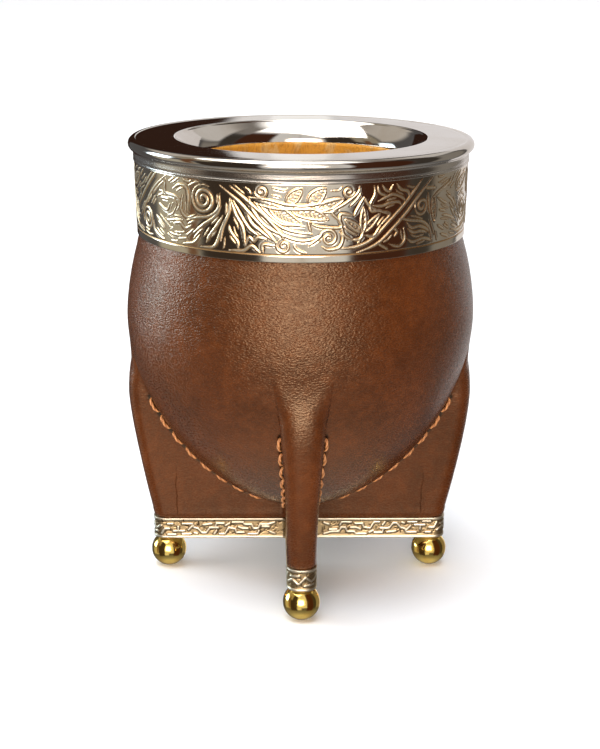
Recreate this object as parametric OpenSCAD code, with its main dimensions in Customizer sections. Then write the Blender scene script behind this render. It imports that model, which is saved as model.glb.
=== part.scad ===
// Mate gourd cup: a hollow gourd in a sewn leather cover with four fins, a metal rim
// and engraved collar round the mouth, and a metal foot trim on four ball feet.

/* [Bowl] */
// Widest radius of the leather bowl
bowl_r = 43.4; // [34:0.1:56]
// Depth of the bowl below its widest level
bowl_drop = 50.8; // [40:0.1:66]
// Height from the widest level up to the collar's lower edge
bowl_rise = 20.4; // [14:0.1:30]
// How much the bowl draws in between its widest level and the collar
shoulder_inset = 3.9; // [2:0.1:6]
// Roundness of the bowl below its widest level: 2 is an ellipse
belly_power = 1.78; // [1.5:0.01:2.3]
// Roundness of the shoulder: a larger value turns in later
shoulder_power = 1.7; // [1.3:0.01:2.4]
// Thickness of the leather
leather_t = 2; // [1.2:0.1:3]
// Thickness of the gourd's wall at its widest level
gourd_t = 7.5; // [4:0.1:10]
// Thickness of the gourd's floor
gourd_floor_t = 9; // [5:0.1:14]

/* [Collar] */
// Height of the engraved collar
collar_h = 17.7; // [12:0.1:26]
// Thickness of the collar's metal
collar_t = 0.8; // [0.6:0.1:1.4]
// How far the collar widens from its lower edge to its upper edge
collar_flare = 0.4; // [0:0.1:1.5]
// Height of the plain border at the collar's lower edge
border_h = 1.6; // [1:0.1:3]
// Width and depth of the groove above that border
groove = 0.3; // [0.1:0.05:0.5]

/* [Rim] */
// Radius of the bead at the rim's outer edge, beyond the collar
rim_overhang = 1.3; // [0.8:0.1:3]
// Radius of the bead's section
bead_r = 1.4; // [1:0.1:2.2]
// Height of the brushed neck band below the bead
neck_h = 2.5; // [1.5:0.1:5]
// Width of the rim's flat top, from the mouth's edge out to the neck band
ring_w = 10.3; // [8:0.1:13]
// How much the funnel inside the mouth draws in
funnel_inset = 3.6; // [1:0.1:6]
// Thickness of the rim's metal
rim_t = 0.9; // [0.6:0.1:1.4]

/* [Fins] */
// How far a fin's furthest reach stands beyond the bowl's widest radius
fin_out = 0.05; // [0:0.05:3]
// How far below the bowl's widest level that furthest reach lies
fin_bulge_drop = 21.2; // [17:0.1:26]
// How much a fin draws in from its furthest reach to the foot trim
fin_taper = 6; // [2:0.1:12]
// Height of the bowl's underside above the foot trim
fin_gap = 4; // [1:0.1:14]
// Thickness of a fin at its furthest reach
fin_w = 10.2; // [8.4:0.1:14]
// Depth of the rounding at a fin's outer edge
fin_nose = 3.6; // [2:0.1:6]

/* [Foot trim] */
// Width of the trim across one arm
trim_w = 7.3; // [6:0.1:9]
// Height of the trim band
trim_h = 5.4; // [4:0.1:8]
// Thickness of the trim's wall and of its sole
trim_t = 0.7; // [0.5:0.05:1]
// Height of the trim's raised upper and lower borders
trim_edge_h = 0.8; // [0.5:0.1:1.4]
// How far those borders stand out from the band between them
trim_edge_out = 0.2; // [0.1:0.05:0.3]
// Radius of the trim's inner corners
trim_corner_r = 1; // [0.5:0.1:2]
// How far the trim reaches past the fin's foot
trim_over = 0.3; // [0.1:0.1:1]

/* [Ball feet] */
// Radius of a ball foot
ball_r = 4.5; // [3.4:0.1:5.6]
// Radius of the flat spot that a ball stands on
ball_flat_r = 0.9; // [0.6:0.1:1.6]
// Depth of the flat that joins a ball to the trim's sole
ball_seat = 0.45; // [0.2:0.05:0.8]
// Distance from the trim's outer end in to a ball's centre
ball_inset = 3.8; // [3:0.1:6]

/* [Thread] */
// Thickness of the sewing thread
thread_d = 1; // [0.7:0.05:1.3]
// Number of stitches along each seam
stitches = 8; // [6:1:11]
// Share of the pitch between the centres of a stitch's two round ends
stitch_share = 0.66; // [0.5:0.01:0.75]
// Height of the highest stitch below the bowl's widest level
seam_top = 22; // [18:0.1:28]
// Distance from the trim's inner corner to the lowest stitch
seam_end = 4.5; // [2.5:0.1:10]

/* [Hidden] */
// Clearance between pieces that fit round each other
fit_gap = 0.1;
SIDES = ["right", "back", "left", "front"];
SEAMS = ["a", "b"];

// Levels, from the floor up
ball_z = sqrt(ball_r * ball_r - ball_flat_r * ball_flat_r);
sole_z = ball_z + ball_r - ball_seat;
trim_top = sole_z + trim_h;
under_z = trim_top + fin_gap;
bowl_z = under_z + bowl_drop;
collar_z = bowl_z + bowl_rise;
neck_z = collar_z + collar_h;
bead_z = neck_z + neck_h + bead_r;
top_z = bead_z + bead_r;
bulge_z = bowl_z - fin_bulge_drop;

// Radii
shoulder_r = bowl_r - shoulder_inset;
collar_r = shoulder_r + collar_t;
collar_top_r = collar_r + collar_flare;
mouth_r = collar_top_r - ring_w;
funnel_r = mouth_r - funnel_inset;
fin_reach = bowl_r + fin_out;
fin_foot_reach = fin_reach - fin_taper;
trim_reach = fin_foot_reach + trim_over;
ball_reach = trim_reach - ball_inset;

// Number of steps in a curved outline
steps = 28;
// Number of steps round the end of a fin, and up a fin
end_steps = 8;
fin_steps = 12;
// How square the end of a fin or of the trim is: 2 is round
end_power = 2.3;
// How the fin's edge curves between its foot and its furthest reach
edge_power = 1.48;
// How the fin thickens towards its furthest reach
thick_power = 1.6;
// How far the fin's edge draws back above its furthest reach, as a parabola
top_back = 0.01;

// Radius of the leather's outside at height z above the bowl's widest level
function belly(z) = bowl_r * pow(1 - pow(-z / bowl_drop, belly_power), 1 / belly_power);
function shoulder(z) = bowl_r - shoulder_inset * pow(z / bowl_rise, shoulder_power);

// Outline of the bowl from its underside to the collar's lower edge, moved in by d
function belly_point(i, d) =
    let (
        t = 90 * i / steps,
        r = bowl_r * pow(sin(t), 2 / belly_power),
        z = -bowl_drop * pow(cos(t), 2 / belly_power)
    )
    [r * (bowl_r - d) / bowl_r, bowl_z + z * (bowl_drop - d) / bowl_drop];
function shoulder_point(i, d) =
    let (z = bowl_rise * i / steps)
    [shoulder(z) - d, bowl_z + z];
function bowl_outline(d) = concat(
    [for (i = [0:steps]) belly_point(i, d)],
    [for (i = [1:steps]) shoulder_point(i, d)]
);

// The leather and the gourd run up inside the collar, following its flare
function neck_outline(d) = [
    [shoulder_r - fit_gap - d, collar_z + fit_gap],
    [shoulder_r + collar_flare - fit_gap - d, neck_z - fit_gap]
];

// A smooth step from 0 to 1
function ease(t) = t * t * (3 - 2 * t);

// Inside of the gourd, from the floor's centre up to the mouth
cavity_r = bowl_r - leather_t - fit_gap - gourd_t;
cavity_floor_z = under_z + leather_t + fit_gap + gourd_floor_t;
mouth_z = neck_z - fit_gap;
function cavity_outline() = concat(
    [for (i = [0:steps])
        let (t = 90 * i / steps)
        [cavity_r * sin(t), bowl_z - (bowl_z - cavity_floor_z) * cos(t)]],
    [for (i = [1:steps])
        let (s = i / steps)
        [cavity_r - (cavity_r - funnel_r) * ease(s), bowl_z + (mouth_z - bowl_z) * s]]
);

module gourd() {
    seat_r = funnel_r + rim_t + fit_gap;
    lip_r = mouth_r + rim_t + fit_gap;
    lip_z = top_z - rim_t - fit_gap;
    color("goldenrod")
    rotate_extrude($fn = 128)
    polygon(concat(
        bowl_outline(leather_t + fit_gap),
        neck_outline(leather_t + fit_gap),
        [
            [shoulder_r + collar_flare - fit_gap - leather_t, lip_z],
            [lip_r, lip_z],
            [seat_r, neck_z],
            [seat_r, mouth_z]
        ],
        [for (i = [2 * steps:-1:0]) cavity_outline()[i]]
    ));
}

// Reach and half thickness of a fin at height z above the floor
function fin_edge(z) =
    z > bulge_z
    ? fin_reach - top_back * pow(z - bulge_z, 2)
    : fin_reach - fin_taper * pow((bulge_z - z) / (bulge_z - trim_top), edge_power);
function fin_half(z) =
    (trim_w - trim_over + (fin_w - trim_w + trim_over)
        * pow(max(0, (z - trim_top) / (bulge_z - trim_top)), thick_power)) / 2;

// Half of an arm's rounded end, from one side to the other
function end_point(j, reach, half, nose) =
    let (
        a = -90 + 180 * j / end_steps,
        c = pow(cos(a), 2 / end_power),
        s = sign(a) * pow(abs(sin(a)), 2 / end_power)
    )
    [reach - nose + nose * c, half * s];
function arm_end(reach, half, nose) = [for (j = [0:end_steps]) end_point(j, reach, half, nose)];

// Section of two opposite fins at one level
function blade_section(reach, half, z) =
    let (end = arm_end(reach, half, fin_nose))
    concat(
        [for (p = end) [p[0], p[1], z]],
        [for (p = end) [-p[0], -p[1], z]]
    );

// Two opposite fins as one blade through the cup's axis
module blade() {
    tuck = trim_t + trim_edge_out + fit_gap;
    tuck_reach = trim_reach - tuck;
    tuck_half = trim_w / 2 - tuck;
    low_z = trim_top + fit_gap;
    high_z = bowl_z - fin_bulge_drop / 4;
    sections = concat(
        [blade_section(tuck_reach, tuck_half, sole_z + trim_t + fit_gap)],
        [blade_section(tuck_reach, tuck_half, low_z)],
        [for (i = [0:fin_steps])
            let (z = low_z + fit_gap + (high_z - low_z) * i / fin_steps)
            blade_section(fin_edge(z), fin_half(z), z)]
    );
    ring = 2 * (end_steps + 1);
    levels = len(sections);
    polyhedron(
        points = [for (s = sections) each s],
        faces = concat(
            [[for (j = [0:ring - 1]) j]],
            [for (i = [0:levels - 2], j = [0:ring - 1])
                let (k = (j + 1) % ring)
                [i * ring + j, (i + 1) * ring + j, (i + 1) * ring + k, i * ring + k]],
            [[for (j = [ring - 1:-1:0]) (levels - 1) * ring + j]]
        ),
        convexity = 4
    );
}

module leather_cover() {
    color("saddlebrown")
    difference() {
        union() {
            rotate_extrude($fn = 128)
            polygon(concat(bowl_outline(0), neck_outline(0), [[0, neck_z - fit_gap]]));
            blade();
            rotate([0, 0, 90]) blade();
        }
        rotate_extrude($fn = 128)
        polygon(concat(
            bowl_outline(leather_t),
            neck_outline(leather_t),
            [[shoulder_r + collar_flare - fit_gap - leather_t, top_z], [0, top_z]]
        ));
    }
}

module collar() {
    groove_z = collar_z + border_h;
    color("silver")
    rotate_extrude($fn = 128)
    polygon([
        [shoulder_r, collar_z],
        [collar_r, collar_z],
        [collar_r, groove_z],
        [collar_r - groove, groove_z + groove / 2],
        [collar_r, groove_z + groove],
        [collar_top_r, neck_z],
        [collar_top_r - collar_t, neck_z]
    ]);
}

module rim() {
    band_r = collar_top_r + 0.1;
    bead_c = collar_top_r + rim_overhang - bead_r;
    inner_r = band_r - rim_t;
    color("gainsboro")
    rotate_extrude($fn = 128)
    polygon(concat(
        [for (i = [0:8])
            let (s = i / 8)
            [funnel_r + funnel_inset * pow(s, 1.6), neck_z + (top_z - rim_t / 2 - neck_z) * s]],
        [[mouth_r + rim_t / 2, top_z]],
        [for (a = [90:-15:-60]) [bead_c + bead_r * cos(a), bead_z + bead_r * sin(a)]],
        [
            [band_r, neck_z + neck_h],
            [band_r, neck_z],
            [inner_r, neck_z],
            [inner_r, top_z - rim_t],
            [mouth_r + rim_t, top_z - rim_t],
            [funnel_r + rim_t, neck_z]
        ]
    ));
}

// Outline of the foot trim, a cross with rounded ends and inner corners, moved in by d
corner_steps = 5;
function arm_outline(d) =
    let (
        half = trim_w / 2 - d,
        c = trim_w / 2 + trim_corner_r,
        r = trim_corner_r + d
    )
    concat(
        arm_end(trim_reach - d, half, fin_nose),
        [for (j = [0:corner_steps])
            let (a = 270 - 90 * j / corner_steps)
            [c + r * cos(a), c + r * sin(a)]]
    );
function turn(p, a) = [p[0] * cos(a) - p[1] * sin(a), p[0] * sin(a) + p[1] * cos(a)];
function cross_outline(d) = [for (i = [0:3], p = arm_outline(d)) turn(p, 90 * i)];

module cross_slab(z, h, d) {
    translate([0, 0, z])
    linear_extrude(h)
    polygon(cross_outline(d));
}

module foot_trim() {
    color("tan")
    difference() {
        union() {
            cross_slab(sole_z, trim_edge_h, 0);
            cross_slab(sole_z, trim_h, trim_edge_out);
            cross_slab(trim_top - trim_edge_h, trim_edge_h, 0);
        }
        cross_slab(sole_z + trim_t, trim_h, trim_t + trim_edge_out);
    }
}

module ball(i) {
    color("gold")
    rotate([0, 0, 90 * i])
    translate([ball_reach, 0, 0])
    intersection() {
        translate([0, 0, ball_z]) sphere(r = ball_r, $fn = 64);
        translate([-ball_r, -ball_r, 0]) cube([2 * ball_r, 2 * ball_r, sole_z]);
    }
}

// The seam lies in the corner between a fin's side and the bowl. The thread keeps its own
// radius, and a clearance, from both. u is the angle on the bowl's outline.
thread_off = thread_d / 2 + fit_gap;
function seam_angle(z) = acos(pow((bowl_z - z) / bowl_drop, belly_power / 2));
seam_start = seam_angle(bowl_z - seam_top);
seam_stop = asin(pow((trim_w / 2 + trim_corner_r + seam_end) / bowl_r, belly_power / 2));
function outline_point(u) = [
    bowl_r * pow(sin(u), 2 / belly_power),
    bowl_z - bowl_drop * pow(cos(u), 2 / belly_power)
];
function outline_normal(u) =
    let (
        t = outline_point(u + 0.5) - outline_point(u - 0.5),
        n = [t[1], -t[0]]
    )
    n / norm(n);
function seam_point(u) =
    let (
        p = outline_point(u),
        n = outline_normal(u),
        r = p[0] + n[0] * thread_off,
        z = p[1] + n[1] * thread_off,
        y = fin_half(z) + thread_off
    )
    [sqrt(r * r - y * y), y, z];

// A round-ended stitch from a to b
module stitch(a, b) {
    v = b - a;
    len_ab = norm(v);
    translate(a)
    rotate([0, acos(v[2] / len_ab), atan2(v[1], v[0])])
    union() {
        cylinder(d = thread_d, h = len_ab, $fn = 24);
        sphere(d = thread_d, $fn = 24);
        translate([0, 0, len_ab]) sphere(d = thread_d, $fn = 24);
    }
}

module thread(i, side) {
    pitch = (seam_start - seam_stop) / stitches;
    color("peru")
    rotate([0, 0, 90 * i])
    mirror([0, side, 0])
    for (k = [0:stitches - 1]) {
        u = seam_start - pitch * k;
        stitch(seam_point(u), seam_point(u - pitch * stitch_share));
    }
}

gourd();
leather_cover();
collar();
rim();
foot_trim();
for (i = [0:3]) {
    ball(i);
    thread(i, 0);
    thread(i, 1);
}
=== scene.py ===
"""Looks of a footed mate gourd cup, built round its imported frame.

Every finished piece is in metres, in the frame's axes: +Z runs up the cup's axis and the fins point
along +X, +Y, -X and -Y. The sizes that the classes hold are in millimetres.
"""

import logging
import math
from contextlib import contextmanager
from dataclasses import dataclass, field
from enum import Enum
from typing import Callable, Iterator, Sequence

import bpy
import numpy as np
from mathutils import Matrix, Vector


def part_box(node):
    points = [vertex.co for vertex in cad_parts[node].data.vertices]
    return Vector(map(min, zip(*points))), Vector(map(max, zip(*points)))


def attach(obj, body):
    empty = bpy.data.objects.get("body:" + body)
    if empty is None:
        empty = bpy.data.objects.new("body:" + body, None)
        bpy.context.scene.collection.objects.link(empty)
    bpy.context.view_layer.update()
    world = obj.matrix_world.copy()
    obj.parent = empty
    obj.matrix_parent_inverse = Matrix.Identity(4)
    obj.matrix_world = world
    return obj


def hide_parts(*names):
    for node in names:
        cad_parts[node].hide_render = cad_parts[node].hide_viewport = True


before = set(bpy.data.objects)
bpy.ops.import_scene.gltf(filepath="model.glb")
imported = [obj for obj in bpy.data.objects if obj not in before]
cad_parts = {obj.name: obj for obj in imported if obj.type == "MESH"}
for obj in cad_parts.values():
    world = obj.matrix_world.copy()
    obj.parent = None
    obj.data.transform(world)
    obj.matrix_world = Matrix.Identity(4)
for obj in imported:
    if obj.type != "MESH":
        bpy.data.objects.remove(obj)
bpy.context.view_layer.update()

LOG = logging.getLogger("mate_cup")
MM = 0.001
MERGE = 1e-6
BODY = "root"
SIDES = ("right", "back", "left", "front")

Point = tuple[float, float]
Colour = tuple[float, float, float, float]
Array = np.ndarray


# Sizes read from the frame


@dataclass(frozen=True)
class Span:
    """The box of one node of the frame, in millimetres."""

    low: Vector
    high: Vector

    @classmethod
    def of(cls, node: str) -> "Span":
        """Read the box of a node.

        Args:
            node: The node's name.

        Returns:
            Its box.
        """
        low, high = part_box(node)
        return cls(low / MM, high / MM)


@dataclass(frozen=True)
class Levels:
    """Heights and radii that several pieces share."""

    sole_z: float
    trim_top: float
    trim_reach: float
    collar_z: float
    neck_z: float
    top_z: float
    rim_r: float
    collar_top_r: float
    fin_reach: float
    bowl_z: float
    collar_flare: float = 0.4
    bowl_rise: float = 20.4
    fin_out: float = 0.05

    @classmethod
    def from_frame(cls) -> "Levels":
        """Work the levels out from the boxes of the frame's nodes.

        Returns:
            The levels.
        """
        trim = Span.of("foot_trim")
        collar = Span.of("collar")
        rim = Span.of("rim")
        cover = Span.of("leather_cover")
        return cls(
            sole_z=trim.low.z,
            trim_top=trim.high.z,
            trim_reach=trim.high.x,
            collar_z=collar.low.z,
            neck_z=rim.low.z,
            top_z=rim.high.z,
            rim_r=rim.high.x,
            collar_top_r=collar.high.x,
            fin_reach=cover.high.x,
            bowl_z=collar.low.z - cls.bowl_rise,
        )


# Workbench: small steps that the pieces share. MERGE is in metres.


def ease(t: Array | float) -> Array | float:
    """Return a smooth step of t, which is first kept between 0 and 1."""
    t = np.clip(t, 0.0, 1.0)
    return t * t * (3.0 - 2.0 * t)


def smooth_max(a: Array, b: Array, blend: Array | float) -> Array:
    """Return the larger of a and b, with their corner rounded over a width of blend."""
    share = np.maximum(blend - np.abs(a - b), 0.0) / np.maximum(blend, 1e-9)
    return np.maximum(a, b) + share * share * blend / 4.0


def deselect_all() -> None:
    """Clear the selection, in object mode."""
    for obj in bpy.context.selected_objects:
        obj.select_set(False)


def choose(*objs: bpy.types.Object) -> None:
    """Select only these objects and make the first one active."""
    deselect_all()
    for obj in objs:
        obj.select_set(True)
    bpy.context.view_layer.objects.active = objs[0]


@contextmanager
def editing(obj: bpy.types.Object) -> Iterator[None]:
    """Hold an object in edit mode with nothing but it selected.

    Args:
        obj: The mesh object to edit.

    Yields:
        Nothing.
    """
    choose(obj)
    bpy.ops.object.mode_set(mode="EDIT")
    try:
        yield
    finally:
        bpy.ops.object.mode_set(mode="OBJECT")


def finish_mesh(obj: bpy.types.Object, name: str) -> bpy.types.Object:
    """Name a new piece, put its place in its mesh, close its seams, face it outwards and smooth it.

    Args:
        obj: The piece.
        name: Its name, used for its mesh too.

    Returns:
        The piece.
    """
    obj.name = obj.data.name = name
    choose(obj)
    bpy.ops.object.transform_apply(location=True, rotation=True, scale=True)
    with editing(obj):
        bpy.ops.mesh.select_all(action="SELECT")
        bpy.ops.mesh.remove_doubles(threshold=MERGE)
        bpy.ops.mesh.normals_make_consistent(inside=False)
    choose(obj)
    bpy.ops.object.shade_smooth()
    return obj


def apply_modifier(obj: bpy.types.Object, kind: str, **settings: object) -> None:
    """Add a modifier, set it and apply it.

    Args:
        obj: The piece.
        kind: The modifier's type.
        **settings: Values of its properties.
    """
    choose(obj)
    modifier = obj.modifiers.new(kind.title(), kind)
    for key, value in settings.items():
        setattr(modifier, key, value)
    bpy.ops.object.modifier_apply(modifier=modifier.name)


def turned(name: str, outline: Sequence[Point], steps: int, closed: bool = True) -> bpy.types.Object:
    """Turn an outline round the cup's axis, as on a lathe.

    The outline is drawn by extruding one corner from point to point, and then spun.

    Args:
        name: The piece's name.
        outline: Points as (radius, height), in millimetres.
        steps: Number of steps round the axis.
        closed: Whether the last point joins the first one.

    Returns:
        The turned piece.
    """
    deselect_all()
    bpy.ops.mesh.primitive_plane_add(size=MM)
    obj = bpy.context.object
    with editing(obj):
        bpy.ops.mesh.select_all(action="SELECT")
        bpy.ops.mesh.merge(type="CENTER")
        places = [Vector((radius, 0.0, height)) * MM for radius, height in outline]
        bpy.ops.transform.translate(value=places[0])
        for here, there in zip(places, places[1:] + places[:1] * closed):
            bpy.ops.mesh.extrude_region_move(TRANSFORM_OT_translate={"value": there - here})
        bpy.ops.mesh.select_all(action="SELECT")
        bpy.ops.mesh.spin(steps=steps, angle=2.0 * math.pi, center=(0, 0, 0), axis=(0, 0, 1))
    return finish_mesh(obj, name)


def bent_sheet(points: Array, masks: dict[str, Array]) -> bpy.types.Object:
    """Add a grid, bend it to shape, store its masks and merge its doubled points.

    Args:
        points: A row of places for each row of the grid, in millimetres.
        masks: One value for each point, by the name that the material reads.

    Returns:
        The sheet.
    """
    rows, columns = points.shape[:2]
    deselect_all()
    bpy.ops.mesh.primitive_grid_add(x_subdivisions=columns - 1, y_subdivisions=rows - 1, size=1.0)
    obj = bpy.context.object
    set_points(obj, points)
    for name, values in masks.items():
        set_mask(obj, name, values)
    with editing(obj):
        bpy.ops.mesh.select_all(action="SELECT")
        bpy.ops.mesh.remove_doubles(threshold=MERGE)
    return obj


def set_points(obj: bpy.types.Object, points: Array) -> None:
    """Move a mesh's points to these places.

    Args:
        obj: The piece.
        points: One place for each point, in millimetres.
    """
    obj.data.vertices.foreach_set("co", (points.reshape(-1) * MM).astype(np.float32))
    obj.data.update()


def set_mask(obj: bpy.types.Object, name: str, values: Array) -> None:
    """Store one value for each point of a mesh, for its material to read.

    Args:
        obj: The piece.
        name: The attribute's name.
        values: One value for each point.
    """
    layer = obj.data.attributes.new(name, "FLOAT", "POINT")
    layer.data.foreach_set("value", values.reshape(-1).astype(np.float32))


def select_edges(obj: bpy.types.Object, wanted: Callable[[Vector, Vector], bool]) -> None:
    """Select the edges whose two ends pass a test, in object mode.

    Args:
        obj: The piece.
        wanted: Test on an edge's two end points, in millimetres.
    """
    mesh = obj.data
    for part in (mesh.vertices, mesh.edges, mesh.polygons):
        part.foreach_set("select", np.zeros(len(part), bool))
    places = [v.co / MM for v in mesh.vertices]
    for edge in mesh.edges:
        a, b = edge.vertices
        edge.select = bool(wanted(places[a], places[b]))


def close_holes(obj: bpy.types.Object, *rims: Callable[[Vector], bool]) -> None:
    """Fill each hole whose rim's points pass a test, one after another.

    Args:
        obj: The piece.
        *rims: A test on a point, in millimetres, for each hole.
    """
    for on_rim in rims:
        select_edges(obj, lambda a, b: on_rim(a) and on_rim(b))
        with editing(obj):
            bpy.ops.mesh.edge_face_add()


def smooth_by_angle(obj: bpy.types.Object, degrees: float) -> None:
    """Smooth a piece but for the edges that are sharper than an angle."""
    choose(obj)
    bpy.ops.object.shade_smooth_by_angle(angle=math.radians(degrees))


def quarter_turns() -> Iterator[Array]:
    """Yield the four turns, by quarters round the axis, as matrices for rows of places."""
    for k in range(4):
        c, s = round(math.cos(k * math.pi / 2)), round(math.sin(k * math.pi / 2))
        yield np.array([[c, s, 0.0], [-s, c, 0.0], [0.0, 0.0, 1.0]])


# Materials


def srgb(red: int, green: int, blue: int) -> Colour:
    """Turn a screen colour, 0 to 255, into the linear colour that shaders take."""

    def linear(value: int) -> float:
        """Turn one channel."""
        share = value / 255.0
        return share / 12.92 if share <= 0.04045 else ((share + 0.055) / 1.055) ** 2.4

    return (linear(red), linear(green), linear(blue), 1.0)


class Graph:
    """Builds nodes in one node tree with few words."""

    def __init__(self, tree: bpy.types.NodeTree) -> None:
        """Keep the node tree to build in."""
        self.tree = tree

    def feed(self, node: bpy.types.Node, **inputs: object) -> bpy.types.Node:
        """Fill or link a node's inputs.

        Args:
            node: The node.
            **inputs: Inputs by name, with _ for a space, or by number as i0, i1 and so on.

        Returns:
            The node.
        """
        for key, value in inputs.items():
            numbered = key[0] == "i" and key[1:].isdigit()
            socket = node.inputs[int(key[1:]) if numbered else key.replace("_", " ")]
            if isinstance(value, bpy.types.NodeSocket):
                self.tree.links.new(value, socket)
            else:
                socket.default_value = value
        return node

    def add(self, kind: str, settings: dict | None = None, **inputs: object) -> bpy.types.Node:
        """Add a node, set its properties and fill or link its inputs.

        Args:
            kind: The node's type, without its ShaderNode prefix.
            settings: Values of the node's properties.
            **inputs: Inputs, as `feed` takes them.

        Returns:
            The node.
        """
        node = self.tree.nodes.new("ShaderNode" + kind)
        for key, value in (settings or {}).items():
            setattr(node, key, value)
        return self.feed(node, **inputs)

    def place(self) -> bpy.types.NodeSocket:
        """Return coordinates on the object."""
        return self.add("TexCoord").outputs["Object"]

    def mask(self, name: str) -> bpy.types.NodeSocket:
        """Return a value that the piece's mesh stores for each of its points."""
        return self.add("Attribute", {"attribute_name": name}).outputs["Fac"]

    def math(self, operation: str, *values: object, clamp: bool = False) -> bpy.types.NodeSocket:
        """Add a Math node.

        Args:
            operation: What it works out.
            *values: Its inputs, in order.
            clamp: Whether the result is kept between 0 and 1.

        Returns:
            Its result.
        """
        inputs = {f"i{index}": value for index, value in enumerate(values)}
        return self.add("Math", {"operation": operation, "use_clamp": clamp}, **inputs).outputs[0]

    def times(self, a: object, b: object) -> bpy.types.NodeSocket:
        """Return a times b."""
        return self.math("MULTIPLY", a, b)

    def scaled(self, value: object, by: object, plus: object) -> bpy.types.NodeSocket:
        """Return a value multiplied by one thing, plus another."""
        return self.math("MULTIPLY_ADD", value, by, plus)

    def effect(self, tree: bpy.types.NodeTree, size: float) -> bpy.types.bpy_prop_collection:
        """Add an effect at a size, in cells for each metre, and return its outputs."""
        return self.add("Group", {"node_tree": tree}, Size=size).outputs

    def ramp(self, value: bpy.types.NodeSocket, low: float, high: float) -> bpy.types.NodeSocket:
        """Turn low to high into 0 to 1, smoothly and with both ends kept."""
        smooth = {"interpolation_type": "SMOOTHSTEP"}
        return self.add("MapRange", smooth, Value=value, From_Min=low, From_Max=high).outputs["Result"]

    def mix(self, share: object, a: object, b: object) -> bpy.types.NodeSocket:
        """Return colour a with a share of colour b mixed in."""
        return self.add("Mix", {"data_type": "RGBA"}, i0=share, i6=a, i7=b).outputs[2]

    def noise(
        self, vector: object, scale: float, detail: float = 3.0, **more: float
    ) -> bpy.types.NodeSocket:
        """Return the value of a noise texture.

        Args:
            vector: Coordinates to read.
            scale: Cells for each metre.
            detail: Number of finer layers.
            **more: Other inputs.

        Returns:
            A value about 0.5.
        """
        return self.add("TexNoise", Vector=vector, Scale=scale, Detail=detail, **more).outputs[0]

    def stretched(self, vector: object, x: float, y: float, z: float) -> bpy.types.NodeSocket:
        """Return coordinates scaled along each axis, which draws a pattern out where they shrink."""
        return self.add("Mapping", Vector=vector, Scale=(x, y, z)).outputs[0]

    def bump(self, height: bpy.types.NodeSocket, depth: float, strength: float) -> bpy.types.NodeSocket:
        """Turn a height into normals.

        Args:
            height: The height, about 0 to 1.
            depth: What a height of 1 means, in metres.
            strength: How strongly it shows.

        Returns:
            The normals.
        """
        return self.add("Bump", Height=height, Strength=strength, Distance=depth).outputs[0]


class Effects:
    """Surface effects that more than one finish uses, each made once as a node group."""

    _made: dict[str, bpy.types.NodeTree] = {}

    @classmethod
    def group(cls, name: str, draw: Callable[[Graph, bpy.types.NodeSocket], dict]) -> bpy.types.NodeTree:
        """Return an effect's node group, and make it the first time.

        Args:
            name: The group's name.
            draw: Draws the effect from its input Size, and returns its outputs by name.

        Returns:
            The group.
        """
        if name not in cls._made:
            tree = bpy.data.node_groups.new(name, "ShaderNodeTree")
            tree.interface.new_socket("Size", in_out="INPUT", socket_type="NodeSocketFloat")
            outputs = draw(Graph(tree), tree.nodes.new("NodeGroupInput").outputs["Size"])
            for key in outputs:
                tree.interface.new_socket(key, in_out="OUTPUT", socket_type="NodeSocketFloat")
            Graph(tree).feed(tree.nodes.new("NodeGroupOutput"), **outputs)
            cls._made[name] = tree
        return cls._made[name]

    @classmethod
    def tarnish(cls) -> bpy.types.NodeTree:
        """Return a group of soft Blotches and fine Rubbing marks, with Size in cells for each metre."""

        def draw(graph: Graph, size: bpy.types.NodeSocket) -> dict[str, bpy.types.NodeSocket]:
            """Draw the marks."""
            place = graph.place()
            rub = graph.noise(graph.stretched(place, 0.25, 0.25, 1.0), 5200.0, 2.0)
            return {"Blotches": graph.ramp(graph.noise(place, size, 4.0), 0.35, 0.7), "Rubbing": rub}

        return cls.group("tarnish", draw)

    @classmethod
    def grain(cls) -> bpy.types.NodeTree:
        """Return a group of skin Pebbles and Wrinkles, with Size in cells for each metre."""

        def draw(graph: Graph, size: bpy.types.NodeSocket) -> dict[str, bpy.types.NodeSocket]:
            """Draw the pebbles on coordinates that are bent a little, so that no row shows."""
            place = graph.place()
            bend = graph.add("TexNoise", Vector=place, Scale=260.0, Detail=2.0).outputs["Color"]
            shift = graph.add("VectorMath", {"operation": "SCALE"}, i0=bend, Scale=0.0012).outputs[0]
            moved = graph.add("VectorMath", {"operation": "ADD"}, i0=place, i1=shift).outputs[0]
            flat = graph.stretched(moved, 0.8, 0.8, 1.7)
            smooth = {"feature": "SMOOTH_F1"}
            cells = graph.add("TexVoronoi", smooth, Vector=flat, Scale=size, Smoothness=0.35)
            fold = graph.noise(flat, 1250.0, 4.0, Roughness=0.6)
            return {"Pebbles": cells.outputs["Distance"], "Wrinkles": fold}

        return cls.group("grain", draw)


@dataclass(frozen=True)
class Finish:
    """A surface finish. Each kind of surface has its own class."""

    name: str

    def build(self) -> bpy.types.Material:
        """Make the material.

        Returns:
            The material.
        """
        material = bpy.data.materials.new(self.name)
        material.use_nodes = True
        self.paint(Graph(material.node_tree), material.node_tree.nodes["Principled BSDF"])
        return material

    def paint(self, graph: Graph, shader: bpy.types.Node) -> None:
        """Lay the finish on a new material.

        Args:
            graph: The material's builder.
            shader: The material's Principled shader.
        """
        raise NotImplementedError


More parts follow.
